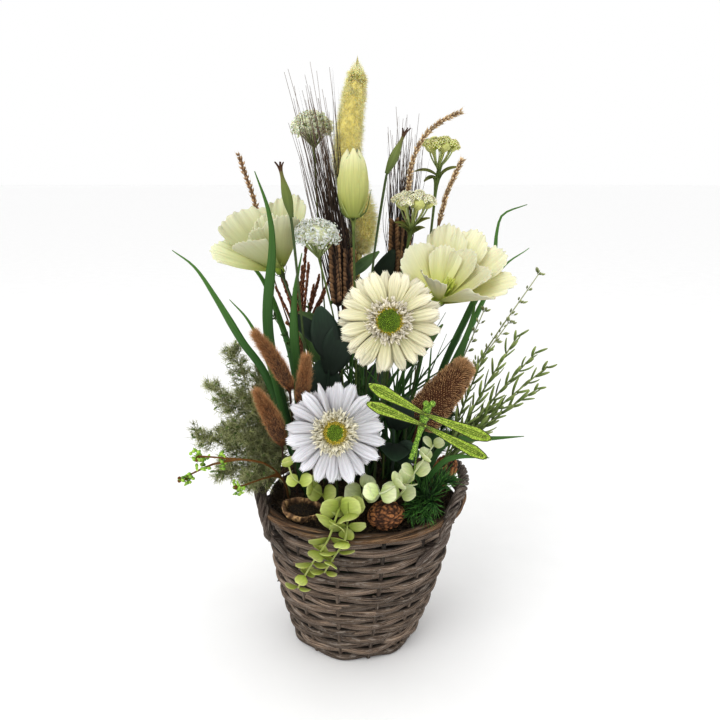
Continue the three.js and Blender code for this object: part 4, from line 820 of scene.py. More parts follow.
def lisianthus(name, base, petals, seed, silk, node):
    """Each petal: its tip, the way its face looks, half its width, edge rise, flare, and ruffle in mm."""
    rng = np.random.default_rng(seed)
    axis = unit(sum(unit(np.subtract(tip, base)) for tip, *_ in petals))
    v, u = np.meshgrid(np.linspace(0, 1, 34), np.linspace(-1, 1, 49), indexing="ij")
    batch = Batch()
    for tip, face, half, cup, flare, ruffle in petals:
        span = np.subtract(tip, base)
        root = base + unit(span - axis * (span @ axis)) * 3.2 + axis * 5
        span = tip - root
        length = np.linalg.norm(span)
        way = unit(span)
        side = unit(np.cross(way, face))
        inner = np.cross(side, way)
        phase, beat = rng.uniform(0, 6), rng.uniform(9, 12)
        wave = np.cos(beat * u + phase) + 0.6 * np.cos(1.9 * beat * u + 2 * phase) * v
        wave = wave + 0.4 * np.cos(3.4 * beat * u + 4 * phase) * v**3
        wide = half * (0.16 + 0.84 * v**0.75) * (1 - 0.12 * v**8)
        lift = (cup * half * u**2 * v**0.7 - flare * length * (np.sin(np.pi * v) * 0.5 + 0.8 * v**3)
                + ruffle * v**3.5 * wave * (0.5 + 0.5 * u**2))
        share = v * (1 - 0.2 * v * u**2) * (1 + 0.016 * v**4 * np.cos(2.3 * beat * u + phase))
        points = (root + way * (length * share)[..., None] + side * (wide * u)[..., None]
                  + inner * lift[..., None])
        batch.grids(points[None], rng.uniform(0.1, 1), v, triples(v * length, u * half, 13 * phase)[None])
    piece(name + "_petals", batch, silk, "petal_cream", node, thick=0.4)
    batch = Batch()
    turn = facing(axis)
    out = polar(1, rng.uniform(0, TURN, STAMENS))
    spread = rng.uniform(1, 7, (STAMENS, 1))
    roots = base + (out * spread * 0.3 + 8 * UP) @ turn.T
    tips = base + (out * spread + UP * rng.uniform(22, 34, (STAMENS, 1))) @ turn.T
    strands(batch, roots, tips, 0.6, rng.random(STAMENS), sides=5, steps=3, profile=lambda t: 0.6 + t**4)
    tube(batch, base + np.linspace(-1, 12, 8)[:, None] * axis, (4.6, 6.2), 16, 0.3)
    piece(name + "_heart", batch, LIME_FLORET, "petal_cream")


lisianthus("right_lisianthus", (90, 30, 373), [
    ((60, 22, 436), (0.5, -0.8, 0.3), 31, 0.2, 0.08, 2.0),
    ((104, 54, 458), (0.0, -0.85, 0.4), 25, 0.2, 0.08, 3.0),
    ((134, 50, 452), (-0.3, -0.8, 0.4), 24, 0.2, 0.08, 3.0),
    ((158, 34, 434), (-0.4, -0.6, 0.6), 26, 0.2, 0.1, 2.6),
    ((168, 8, 406), (-0.2, -0.5, 0.8), 22, 0.25, 0.08, 2.2),
    ((138, -24, 392), (-0.1, 0.5, 0.85), 24, 0.3, 0.06, 1.4),
    ((76, -8, 410), (0.7, 0.5, 0.5), 20, 0.4, 0.06, 1.2),
    ((140, 6, 414), (-0.3, -0.45, 0.8), 20, 0.4, 0.1, 2.2),
    ((99, 34, 436), (0.1, -0.9, 0.3), 20, 0.5, 0.1, 2.4),
    ((124, 26, 432), (-0.4, -0.8, 0.3), 18, 0.5, 0.1, 2.4)], 21, BLOOM, "lisianthus_right_bloom")
lisianthus("left_lisianthus", (-77, 12, 410), [
    ((-124, 42, 474), (0.45, -0.8, 0.35), 40, 0.2, 0.08, 2.2),
    ((-146, 6, 440), (0.3, -0.6, 0.7), 22, 0.2, 0.12, 2.8),
    ((-112, -26, 446), (0.35, 0.8, 0.5), 25, 0.2, 0.04, 1.0),
    ((-68, -26, 472), (-0.35, 0.9, 0.25), 21, 0.3, 0.04, 0.8),
    ((-68, 44, 490), (-0.2, -0.9, 0.2), 24, 0.25, 0.04, 2.4),
    ((-98, -4, 458), (0.2, 0.9, 0.4), 20, 0.4, 0.1, 1.6),
    ((-92, 24, 470), (0.1, -0.9, 0.3), 20, 0.4, 0.1, 2.4)], 22, BLOOM_GREEN, "lisianthus_left_bloom")

# %% [markdown]
# ## The bud
# A lisianthus bud is rolled like an umbrella: each petal's edge lies over the next one, in a spiral. The
# section is a circle with three soft steps, and it turns on its way up and closes at the tip.

# %% Bud
BUD_SILK = finish("bud_silk", [(0, "#7f8a40"), (0.25, "#a0a45a"), (0.7, "#bfc080"), (1, "#dddcb0")], 0.62,
                  spread=0.05, streak=(34, 0.9), depth=0.12, relief=0.7, glow=0.08)
BUD_BASE = finish("bud_base", [(0, "#56672f"), (0.6, "#7d8b48"), (1, "#a9b474")], 0.6, spread=0,
                  rise=(452, 474))
BUD_FOOT = np.array([-1.0, -12.0, 468.0])
BUD_HIGH = 62


def bud():
    batch = Batch()
    t, a = np.meshgrid(np.linspace(0, 1, 40), np.linspace(0, TURN, 60, endpoint=False), indexing="ij")
    swell = (4.2 + 11.9 * oval(0.1, 0.72)(t) * (1 - 0.22 * t)) * np.clip((1.05 - t) * 7, 0.2, 1) ** 0.5
    fold = ((3 * (a - 2.0 * t) / TURN) % 1) ** 4
    crease = 0.02 * np.sin(11 * a - 6 * t) * np.sin(math.pi * t) + 0.015 * np.sin(23 * a + 9 * t)
    points = BUD_FOOT + polar(swell * (1.04 - 0.16 * fold * t + crease), a,
                              BUD_HIGH * t + 4 * t**6 * np.cos(3 * a - 2))
    batch.grids(points[None], 0.6, t, triples(BUD_HIGH * t, 10 * a, 0.0)[None], wrap=True, caps=True)
    piece("pleated_bud", batch, BUD_SILK, "bud_green")
    batch = Batch()
    foot = BUD_FOOT + [0, 0, -3]
    for tip in ((-15, -10, 26), (18, -10, 30), (4, 12, 24), (-8, 10, 18)):
        middle = foot + np.multiply(tip, (0.7, 0.7, 0.3))
        tube(batch, smooth_line([foot, middle, foot + tip], 16), (1.1, 0.25))
    piece("bud_sepals", batch, STEM, "bud_green")


bud()
dress(BUD_BASE, "lisianthus_bud")

# %% [markdown]
# ## Plume, bunny tails and the bristly cone
# A foxtail plume is a dense brush of bristles round a core. The CAD has the core and the stalk; the bristles
# are strands that stand out round the same line in small tufts and lean to the tip. Their colour runs from
# golden at the root to a pale straw at the tip, because dried grass bleaches where light reaches it. Bunny
# tails are softer and their hairs lie closer; the cone has stiff bristles in sunflower order, and finer ones
# between them.

# %% Furry heads
PLUME = finish("dried_foxtail", [(0, "#d4c56c"), (0.4, "#e4d784"), (0.8, "#eee7ac"), (1, "#f6f3d2")], 0.85,
               spread=0.2, mottle=11, depth=0.12, glow=0.2)
PLUME_CORE = finish("foxtail_core", [(0, "#4f6030"), (0.1, "#cfc074"), (1, "#d6c97c")], 0.9, spread=0,
                    mottle=3, depth=0.25, rise=(400, 440))
TAIL = finish("dyed_bunny_tail", [(0, "#633a1c"), (0.5, "#9d6a40"), (1, "#d0a577")], 0.9, spread=0.35)
TAIL_CORE = finish("bunny_tail_core", [(0, "#4a3120"), (1, "#5f4129")], 0.95, mottle=2)
CONE = finish("banksia_bristle", [(0, "#5f4026"), (0.4, "#a0774e"), (1, "#d8b488")], 0.85, spread=0.35)
CONE_CORE = finish("banksia_core", [(0, "#5a3720"), (1, "#6b4427")], 0.95, mottle=2)
PLUME_LINE = [(3, 32, 428), (10, 32, 458), (-6, 32, 512), (-6, 32, 545), (-1, 32, 580), (3, 32, 606)]
CONE_ENDS = np.array([[69.0, -32, 262], [113.0, -38, 322]])
CONE_BRISTLES = 1500
PLUME_HAIRS = {"brush": 19600, "end": 1800, "top": 700, "spire": 60}
TAIL_HAIRS = {"coat": 5600, "tip": 500}
CONE_HAIRS = {"between": 6000, "tip": 900}


def plume():
    """The brush, a denser end, a rounded top, and the bare spire that stands out of it."""
    rng = np.random.default_rng(31)
    batch = Batch()
    line = smooth_line(PLUME_LINE, 80)
    core = lambda t: 12.4 * oval(0.12, 0.72, 0.5)(t)
    fur(batch, line, core, PLUME_HAIRS["brush"], lambda t: 12.5 - 6.5 * t, 0.3, 0.34, rng, scatter=0.45,
        curl=0.18, tuft=7)
    closing = lambda t: core(t) * (1.08 - t) / 0.2
    fur(batch, line, closing, PLUME_HAIRS["end"], lambda t: 10 - 40 * (t - 0.86), 0.7, 0.32, rng,
        span=(0.86, 0.98))
    tip = np.array(PLUME_LINE[-1], float)
    count = PLUME_HAIRS["top"]
    disc = polar(1, rng.uniform(0, TURN, count)) * 9 * np.sqrt(rng.random((count, 1)))
    rise = UP * (15 - 1.1 * np.linalg.norm(disc, axis=1, keepdims=True))
    strands(batch, tip + disc - 5 * UP, tip + disc * 0.62 + rise + rng.normal(0, 1.4, (count, 3)), 0.34,
            rng.uniform(0.4, 1, count), shares=(0.4, 1))
    spire = tip + rng.normal(0, 1.2, (PLUME_HAIRS["spire"], 3))
    top = spire * [0.2, 1, 1] + tip * [0.8, 0, 0] + [0.5, 0, 16]
    strands(batch, spire - 6 * UP, top, 0.5, 0.1, shares=(0, 0.1))
    piece("plume_bristles", batch, PLUME, "plume_straw")


def bunny_tail(name, foot, tip, radius, seed):
    rng = np.random.default_rng(seed)
    batch = Batch()
    foot, tip = np.array(foot, float), np.array(tip, float)
    line = smooth_line([foot - (tip - foot) * 0.06, (foot + tip) / 2 + [1, 0, 1], tip], 40)
    plump = lambda t: radius * oval(0.12, 0.86, 0.8)(t**0.8)
    fur(batch, line, plump, TAIL_HAIRS["coat"], lambda t: 7 + 2.5 * t, 0.74, 0.19, rng, scatter=0.15,
        curl=0.08)
    fur(batch, line, lambda t: plump(t) * 0.6, TAIL_HAIRS["tip"], lambda t: 8 + 4 * t, 0.88, 0.18, rng,
        span=(0.8, 1))
    piece(name, batch, TAIL, "tail_brown")


def bristle_cone():
    rng = np.random.default_rng(33)
    batch = Batch()
    foot, tip = CONE_ENDS
    line = smooth_line([foot - (tip - foot) * 0.05, (foot + tip) / 2, tip], 40)
    core = lambda t: (20 - 6.5 * t) * oval(0.2, 0.68, 0.42)(t)
    k = np.arange(CONE_BRISTLES)
    t = (k + 0.5) / CONE_BRISTLES
    centre, way, out = around(line, t, k * GOLDEN)
    roots = centre + out * (core(t) * 0.9)[:, None]
    towards = unit(out + way * (0.55 + 0.9 * t[:, None] ** 4) + rng.normal(0, 0.1, (CONE_BRISTLES, 3)))
    tips = roots + towards * rng.uniform(4.5, 7, (CONE_BRISTLES, 1))
    strands(batch, roots, tips, 0.8, rng.uniform(0.1, 1, CONE_BRISTLES), sides=4, bow=-out * 0.8)
    fur(batch, line, core, CONE_HAIRS["between"], lambda t: 6.5 + 0 * t, 0.45, 0.24, rng)
    fur(batch, line, lambda t: core(t) * 0.7, CONE_HAIRS["tip"], lambda t: 8 + 0 * t, 0.8, 0.3, rng,
        span=(0.9, 1))
    piece("cone_bristles", batch, CONE, "cone_brown")


plume()
bunny_tail("upper_tail_fur", (-62, -72, 310), (-90, -80, 361), 7.8, 34)
bunny_tail("middle_tail_fur", (-53, -70, 294), (-46, -72, 335), 6.4, 35)
bunny_tail("lower_tail_fur", (-70, -80, 256), (-90, -86, 305), 9.2, 36)
bristle_cone()
dress(PLUME_CORE, "foxtail_plume", smooth=1)
dress(TAIL_CORE, "bunny_tail_upper", "bunny_tail_middle", "bunny_tail_lower", smooth=1)
dress(CONE_CORE, "bristle_cone", smooth=0)

# %% [markdown]
# ## Bearded wheat
# An ear of wheat has its grains in four rows, staggered, which look like a plait. Each grain sits in a
# pointed husk that ends in a long stiff awn. The husks are spindles that lean out of the ear, row by row, and
# an awn leaves the tip of four in five. The awns are dark brown, paler towards their tips, and fan out a
# little.

# %% Wheat
HUSK = finish("dried_wheat_husk", [(0, "#36251a"), (0.5, "#6b4e38"), (1, "#a3805c")], 0.75, spread=0.3)
AWN = finish("wheat_awn", [(0, "#241812"), (0.5, "#46362c"), (1, "#6e5e52")], 0.7, spread=0.35)
EAR_GRAINS = 56
AWN_TOP = 634  # no awn ends higher than this


def wheat(name, ears, length, fan, seed):
    """Each ear is a foot and a tip; `fan` is the lowest and highest lean of the awns in x and in y."""
    rng = np.random.default_rng(seed)
    husks, awns = Batch(), Batch()
    for foot, tip in ears:
        k = np.arange(EAR_GRAINS)
        t = 0.02 + 0.94 * k / EAR_GRAINS
        centre, way, out = around(bent(foot, tip, 30), t, TURN * (k % 4) / 4 + 0.6)
        roots = centre + out * (5 * oval(0.12, 0.76, 0.5)(t) * 0.45)[:, None]
        tips = roots + unit(way + out * 0.62) * rng.uniform(9.5, 11, (EAR_GRAINS, 1))
        strands(husks, roots, tips, 2.9, rng.random(EAR_GRAINS), profile=GRAIN, sides=7, steps=6)
        kept = k % 5 < 4
        awned, some, count = tips[kept], way[kept], kept.sum()
        lean = triples(rng.uniform(*fan[0], count), rng.uniform(*fan[1], count), 0.0)
        reach = length * (0.3 + 0.72 * rng.random((count, 1)) ** 1.3) * (1.06 - 0.16 * t[kept, None])
        ends = awned + unit(some + lean) * reach
        bow = rng.normal(0, 2.0, (count, 3))
        ends[:, 2] = np.minimum(ends[:, 2], AWN_TOP)
        strands(awns, awned - some * 3, ends, 0.42, rng.random(count), profile=taper(0.55), steps=5, bow=bow)
    piece(name + "_husks", husks, HUSK, "wheat_brown")
    piece(name + "_awns", awns, AWN, "wheat_brown")


wheat("left_wheat", [((-18, 14, 372), (-20, 12, 446)), ((-5, 14, 360), (-5, 14, 432)),
                     ((-12, 26, 384), (-13, 28, 452))], 200, ((-0.27, -0.09), (-0.06, 0.08)), 41)
wheat("right_wheat", [((45, 76, 392), (45, 76, 458)), ((57, 78, 396), (58, 78, 456))], 134,
      ((-0.1, 0.14), (-0.04, 0.1)), 42)
dress(HUSK, "wheat_left", "wheat_right", smooth=0)

# %% [markdown]
# ## Grass spikes
# A dry grass spike is a thin stalk with plump little grains close round it, four to a whorl, and a hair on
# each. The grains look like beads from a step away, so each is a short fat spindle at a slight lean.

# %% Grass spikes
SPIKE = finish("dry_grass_spike", [(0, "#8b7154"), (0.5, "#b59c7a"), (1, "#d6c4a4")], 0.85, spread=0.35)
SPIKE_RED = finish("red_grass_spike", [(0, "#77583f"), (0.5, "#a5876a"), (1, "#cdb492")], 0.85, spread=0.3)
SPIKE_STALK = finish("grass_spike_stalk", [(0, "#7a5e42"), (1, "#8d6e4c")], 0.8, spread=0, mottle=5)


def spike(name, points, grains, material, seed):
    rng = np.random.default_rng(seed)
    batch = Batch()
    k = np.arange(grains)
    t = k // 4 * 4 / grains + 0.004 * (k % 4)
    angle = TURN * (k % 4) / 4 + 0.8 * (k // 4) + rng.uniform(0, 0.6, grains)
    centre, way, out = around(smooth_line(points, 60), t, angle)
    lean = unit(way + out * rng.uniform(0.35, 0.85, (grains, 1)))
    tips = centre + out * 0.9 + lean * rng.uniform(3.6, 5, (grains, 1))
    strands(batch, centre + out * 0.9, tips, 1.15, rng.random(grains), profile=GRAIN, sides=6, steps=5)
    strands(batch, tips - way, tips + unit(way + out * 0.5) * 3, 0.16, 0.9, steps=1)
    piece(name, batch, material, "spike_brown")


spike("left_spike_grains", [(-103, 70, 444), (-111, 66, 486), (-118, 64, 508), (-125, 64, 531)], 70,
      SPIKE_RED, 43)
spike("tall_spike_grains", [(58, 62, 484), (62, 62, 520), (73, 62, 546), (91, 62, 563), (114, 62, 574)], 120,
      SPIKE, 44)
spike("short_spike_grains", [(94, 68, 460), (101, 64, 490), (108, 60, 508), (116, 58, 526)], 80, SPIKE, 45)
dress(SPIKE_STALK, "grass_spike_left", "grass_spike_tall", "grass_spike_short")

# %% [markdown]
# ## Umbels and sedum
# An umbel is a dome of small stalked clusters that leave the stem at one point. Each cluster is a few tiny
# flowers, and each flower has petals barely two millimetres long. They are drawn a little larger than that,
# so that they still read as white stars at this distance. Sedum has fewer branches, each with its own flat
# dome of flowers. Inside each head the stem turns pale, between the two heights that are given for it.

# %% Umbels and sedum
UMBEL_WHITE = finish("white_umbel_floret", [(0, "#a9b585"), (0.3, "#dcdfd2"), (1, "#f4f4f2")], 0.75,
                     spread=0.12, glow=0.1)
UMBEL_GREEN = finish("green_umbel_floret", [(0, "#cfd6a0"), (0.5, "#edefd0"), (1, "#f8f8e8")], 0.75,
                     spread=0.08, glow=0.15)
SEDUM_TIP = finish("sedum_floret", [(0, "#b3b86c"), (0.4, "#e2deb4"), (1, "#f6f2e2")], 0.75, spread=0.16,
                   glow=0.1)
SEDUM_LIME = finish("lime_sedum_floret", [(0, "#9aa544"), (0.4, "#c6c868"), (1, "#eae7ba")], 0.75, glow=0.1)
SEDUM_LEAF = finish("sedum_leaf", [(0, "#5c692b"), (1, "#7d7f3f")], 0.55, spread=0.15, streak=(20, 1.5))
UMBEL_STALK = finish("umbel_stalk", [(0, "#7d8d50"), (1, "#b3bc86")], 0.7, mottle=4)
HEADS = {"umbel_front": (426, 438), "umbel_back": (532, 545), "sedum_front": (452, 468),
         "sedum_back": (514, 528)}  # the heights between which each kept stem turns pale
UMBEL = {"clusters": 46, "flowers": 19}
SEDUM = {"branches": 9, "flowers": 34}


def star_florets(batch, centres, ups, radius, rng, petals=5):
    """A ring of small petals round each centre, open towards its own way up."""
    for k in range(petals):
        out = outward(*sides_of(ups), TURN * k / petals + rng.uniform(0, 0.6))
        tips = centres + (out + ups * 0.45) * (radius * rng.uniform(0.8, 1.15, (len(ups), 1)))
        leaves(batch, centres, tips, ups, radius * 0.42, lambda t: 0.35 + 0.75 * oval(0, 0.86)(t),
               rng.random(len(ups)), rows=3, columns=3, cup=0.3)


def dome_of(count, lowest):
    """Evenly spread ways over a dome, from its top down to a height of `lowest`."""
    k = np.arange(count)
    high = 1 - (1 - lowest) * (k + 0.5) / count
    return polar(np.sqrt(1 - high**2), k * GOLDEN, high)


def umbel(name, at, radius, size, material, seed):
    """A dome of stalked clusters; each has small flowers of this size all over it."""
    rng = np.random.default_rng(seed)
    florets, stalks = Batch(), Batch()
    dome = dome_of(UMBEL["clusters"], -0.4)
    crowns = at + dome * radius * [1.0, 1.0, 0.74] * rng.uniform(0.94, 1.05, (len(dome), 1))
    feet = np.tile(np.add(at, [2, 0, -radius * 1.15]), (len(dome), 1))
    strands(stalks, feet, crowns, 0.5, rng.random(len(dome)), profile=taper(0.4), sides=4)
    each = UMBEL["flowers"]
    spread = unit(dome[:, None] * 0.5 + rng.normal(0, 0.8, (len(dome), each, 3))).reshape(-1, 3)
    starts = np.repeat(crowns, each, axis=0)
    ends = starts + spread * rng.uniform(1.5, 5.6, (len(spread), 1))
    strands(stalks, starts - spread, ends, 0.22, 0.8, steps=1)
    star_florets(florets, ends, spread, size, rng)
    strands(florets, ends - spread * 0.4, ends + spread * 0.9, 0.5, 0.2, profile=GRAIN, sides=4,
            shares=(0, 0.4))
    piece(name + "_florets", florets, material, "umbel_white", thick=0.2)
    piece(name + "_rays", stalks, UMBEL_STALK, "umbel_white")


def sedum(name, at, radius, size, low_leaves, material, seed):
    """Branches from one neck, each with a small dome of flowers at its end, and a few leaves below."""
    rng = np.random.default_rng(seed)
    florets, leafy, stalks = Batch(), Batch(), Batch()
    neck = np.add(at, [-2, 0, -radius * 1.1])
    for way in dome_of(SEDUM["branches"], 0.25):
        end = at + way * radius * [0.88, 0.88, 0.5] - 2.5 * UP
        tube(stalks, bent(neck, end, 10, way * [2.5, 2.5, 0]), 0.8, 6, rng.random())
        dome = unit(dome_of(SEDUM["flowers"], -0.2) + 0.15 * UP)
        places = end + dome * radius * 0.3 * [1, 1, 0.9] * rng.uniform(0.8, 1.12, (len(dome), 1))
        foot = np.tile(end - 3 * UP, (len(dome), 1))
        strands(florets, foot, places, 0.6, rng.random(len(dome)), profile=lambda t: 0.6 + 0.5 * t, sides=4,
                shares=(0, 0.4))
        star_florets(florets, places, dome, size, rng)
    for *reach, low in low_leaves:
        root = np.add(at, [-2, 0, low - radius * 1.15])
        leaves(leafy, root, root + 1.1 * np.array(reach), (0.1, -0.3, 0.9), 4.2, oval(0.06, 0.88, 0.8), 0.5,
               rows=10, columns=5, cup=0.35, bow=0.12)
    piece(name + "_florets", florets, material, "sedum_green", thick=0.25)
    piece(name + "_branches", stalks, UMBEL_STALK, "sedum_green")
    piece(name + "_leaves", leafy, SEDUM_LEAF, "sedum_green", thick=0.5)


umbel("front_umbel", (-37, -22, 450), 19, 1.3, UMBEL_WHITE, 51)
umbel("back_umbel", (-45, 62, 557), 18, 1.4, UMBEL_GREEN, 52)
sedum("front_sedum", (62, 32, 478), 23, 2.1,
      [(-16, -4, 8, 0), (18, -2, 12, 0), (14, 8, 6, -4), (-12, 8, 8, -4)], SEDUM_TIP, 53)
sedum("back_sedum", (95, 90, 537), 20, 2.3, [(-24, -2, 4, -6), (-14, -3, -4, -8), (22, -2, 10, -8)],
      SEDUM_LIME, 54)
for node, heights in HEADS.items():
    stem_to_head = [(0, "#56672f"), (0.5, "#8b9858"), (1, "#d3d6b2" if "umbel" in node else "#c3c67e")]
    dress(finish(node + "_stem", stem_to_head, 0.7, spread=0, mottle=4, rise=heights), node)

# %% [markdown]
# ## Seed pods
# The pods swell below a crown of five red-brown prongs. The pod's own colour turns brown only near its top,
# and the prongs are a piece of their own, thin and almost black at their ends.

# %% Seed pods
POD = finish("seed_pod", [(0, "#4f5f2a"), (0.6, "#6c7836"), (0.84, "#6a6434"), (1, "#4a2a1c")], 0.5,
             streak=(24, 1.4), depth=0.14, relief=0.5)
PRONG = finish("seed_pod_prong", [(0, "#5c4026"), (1, "#3a1f14")], 0.7)
POD_PRONGS = 5


def seed_pod(name, foot, top, tipwards):
    pod, prongs = Batch(), Batch()
    top, tipwards = np.array(top, float), np.array(tipwards)
    line = bent(foot, top, 26)
    share = np.linspace(0, 1, 26)[:, None]
    swell = 1.6 + 2.9 * np.sin(np.pi * np.minimum(1, 0.05 + share * 1.05)) ** 1.4
    _, side, other = frames(line)
    angle = np.arange(30) * TURN / 30
    r = swell * (1 + 0.09 * np.cos(POD_PRONGS * angle))
    ring = line[:, None] + r[..., None] * outward(side[:, None], other[:, None], angle)
    grain = triples(40 * share, 4 * angle, 0.0)
    pod.grids(ring[None], 0.5, 0.85 * share, grain[None], wrap=True, caps=True)
    for k in range(POD_PRONGS):
        out = polar(1, TURN * k / POD_PRONGS)
        tube(prongs, smooth_line([top - tipwards * 2, top + tipwards * 4 + out * 1.6,
                                  top + tipwards * 8.5 + out * 4.4], 10), (1.4, 0.5))
    piece(name + "_prongs", prongs, PRONG, "pod_green")
    piece(name, pod, POD, "pod_green")


seed_pod("left_pod", (-58, -54, 470), (-67, -54, 512), (-0.2, 0, 0.98))
seed_pod("right_pod", (32, -6, 510), (48, -6, 545), (0.35, 0, 0.93))
dress(STEM, "seed_pod_left", "seed_pod_right")

# %% [markdown]
# ## Grass blades
# The long blades are plastic grass: a ribbon folded along its midrib, deep green and half glossy. Each
# follows the same listed points as its solid. The ribbon is built row by row along a smooth line, with
# its two halves raised from the fold.

# %% Ribbons
BLADE = finish("moulded_grass", [(0, "#1c3a14"), (0.5, "#2d591e"), (1, "#4c772c")], 0.55, spread=0.28,
               streak=(60, 0.8), depth=0.16, relief=0.5)
FOLD = 0.3
BLADE_LOOKS = (0.15, -1, 0.1)


def ribbon(batch, points, half, twist, tone, rows=48):
    """A folded blade through the points, turned by `twist` radians by its tip."""
    line = smooth_line(points, rows)
    tangent = unit(np.gradient(line, axis=0))
    t = np.linspace(0, 1, rows)
    side = unit(np.cross(tangent, BLADE_LOOKS))
    face = np.cross(side, tangent)
    c, s = np.cos(twist * t)[:, None], np.sin(twist * t)[:, None]
    side, face = side * c - face * s, face * c + side * s
    width = (half * np.minimum(1, 0.45 + 2.2 * t) * np.minimum(1, 3.2 * (1 - t) + 0.04))[:, None]
    u = np.linspace(-1, 1, 7)
    lift = -FOLD * width * (1 - np.abs(u)) + 0.04 * half * np.cos(6 * u)
    points = line[:, None] + side[:, None] * (width * u)[..., None] - face[:, None] * lift[..., None]
    length = np.linalg.norm(line[-1] - line[0])
    batch.grids(points[None], tone, t[:, None], triples(length * t[:, None], width * u, 50 * tone)[None])


def grass(name, node, x, y, blades):
    batch = Batch()
    for k, (half, twist, *points) in enumerate(blades):
        ribbon(batch, [(x, y, SOIL - 6), *points], half, twist, (0.2, 0.55, 0.9)[k % 3])
    piece(name, batch, BLADE, "grass_green", node, thick=0.5)


grass("left_blades", "grass_left", -56, -8, [
    [5, 0.3, (-76, -46, 300), (-84, -52, 370), (-77, -56, 440), (-79, -58, 476), (-90, -62, 512)],
    [4, -0.5, (-86, -34, 300), (-112, -44, 350), (-133, -56, 395), (-150, -60, 424), (-171, -58, 440)],
    [3.4, 0.4, (-66, 26, 290), (-84, 54, 350), (-110, 66, 404), (-152, 72, 432)]])
grass("middle_blades", "grass_middle", -50, -30, [
    [4.6, 0.2, (-56, -44, 300), (-59, -48, 360), (-57, -46, 400), (-50, -42, 436)],
    [2.6, 0.3, (-68, -50, 260), (-84, -55, 330), (-100, -64, 372), (-116, -75, 396)]])
grass("right_blades", "grass_right", 70, -16, [
    [4.6, -0.3, (92, -2, 260), (108, 4, 310), (124, 14, 352), (131, 26, 380)],
    [4.2, 0.4, (90, 20, 280), (126, 44, 360), (152, 56, 410), (156, 56, 450), (162, 54, 468), (186, 50, 478)],
    [3.6, 0.5, (84, 4, 260), (120, 30, 330), (158, 48, 404), (190, 46, 432)]])
grass("low_blades", "grass_low", 60, -44, [
    [3.4, 0.2, (84, -66, 240), (104, -78, 258), (134, -80, 260), (166, -80, 262)],
    [2.8, -0.2, (82, -74, 226), (100, -84, 242), (132, -86, 242)]])

# %% [markdown]
# ## Dark leaves
# Broad silk leaves in a very dark blue-green, with a printed midrib and side veins. The veins are the grain
# streaks, drawn out along the leaf; the cupped leaf form does the rest.

# %% Dark leaves
DARK_LEAF = finish("dark_silk_leaf", [(0, "#101e14"), (0.5, "#162a1c"), (1, "#213d27")], 0.55, spread=0.3,
                   streak=(9, 1.6), depth=0.16, relief=0.5)
BROAD = oval(0.04, 0.93, 0.75)
STEM_STEPS = 60


def leafy_branch(name, node, x, y, points, blades):
    """Each blade: where it leaves the stem, from 0 to 1, half its width, and its tip."""
    batch = Batch()
    stem = rooted(x, y, points, STEM_STEPS)
    tube(batch, stem, (1.6, 1.1), 8, 0.2)
    roots = [stem[min(STEM_STEPS - 1, int(share * 52) + 7)] for share, *_ in blades]
    tips = [tip for _, _, *tip in blades]
    leaves(batch, roots, tips, (0.1, -0.9, 0.42), [half for _, half, *_ in blades], BROAD,
           np.linspace(0.1, 0.9, len(tips)), rows=18, columns=9, cup=0.22, bow=0.05, groove=0.06)
    piece(name, batch, DARK_LEAF, "leaf_dark", node, thick=0.5)


leafy_branch("left_dark_leaves", "dark_leaves_left", -28, -14, [(-30, -26, 270), (-22, -36, 345)], [
    [0.98, 9, -64, -40, 376], [0.9, 15, -34, -44, 384], [0.8, 16, -6, -40, 372], [0.62, 17, -34, -30, 326],
    [0.55, 14, -62, -6, 270]])
leafy_branch("right_dark_leaves", "dark_leaves_right", 38, -46, [(40, -52, 230), (40, -50, 262)], [
    [0.98, 14, 52, -74, 300], [0.8, 15, 40, -80, 236], [0.7, 13, 66, -62, 236]])
leafy_branch("back_dark_leaves", "dark_leaves_back", 10, 70, [(12, 78, 280), (14, 78, 370)], [
    [0.98, 12, 44, 70, 428], [0.95, 13, -14, 84, 404], [0.8, 17, 46, 92, 350], [0.66, 17, -22, 92, 320],
    [0.5, 17, 44, 100, 270], [0.4, 17, -20, 104, 246]])

# %% [markdown]
# ## Green behind the flowers
# A florist closes the gaps between the stems with cheap greenery: thin blades, twigs with tiny leaves and a
# few dark leaves low down. Those dark leaves are partly leaves and partly painted shade, a dark mass where
# the stems shade each other. Nobody looks at a single one of them, so they are scattered by seeded draws that
# only say how wide and how high the whole lot reaches.

# %% Green behind the flowers
GREEN_LEAF = finish("green_silk_leaf", [(0, "#2c4420"), (0.5, "#3f5c2b"), (1, "#567238")], 0.5,
                    streak=(12, 1.4), depth=0.16, relief=0.5)
BEHIND = {"blades": 64, "twigs": 20, "twig_leaves": 22, "dark_leaves": 24}


def thin_blades_behind(rng):
    batch = Batch()
    for k in range(BEHIND["blades"]):
        across = k / (BEHIND["blades"] - 1)
        root = np.array([rng.uniform(-30, 70), rng.uniform(2, 40), SOIL - 4])
        tip = np.array([-58 + 182 * across + rng.normal(0, 7), root[1] + rng.uniform(-6, 24),
                        rng.uniform(270, 372) - 30 * abs(across - 0.5)])
        middle = (root + tip) / 2 + [rng.normal(0, 5), 0, 14]
        ribbon(batch, [root, middle, tip], rng.uniform(0.9, 2.1), rng.uniform(-1.2, 1.2), rng.random(), 18)
    piece("thin_blades_behind", batch, BLADE, "grass_green", thick=0.4)


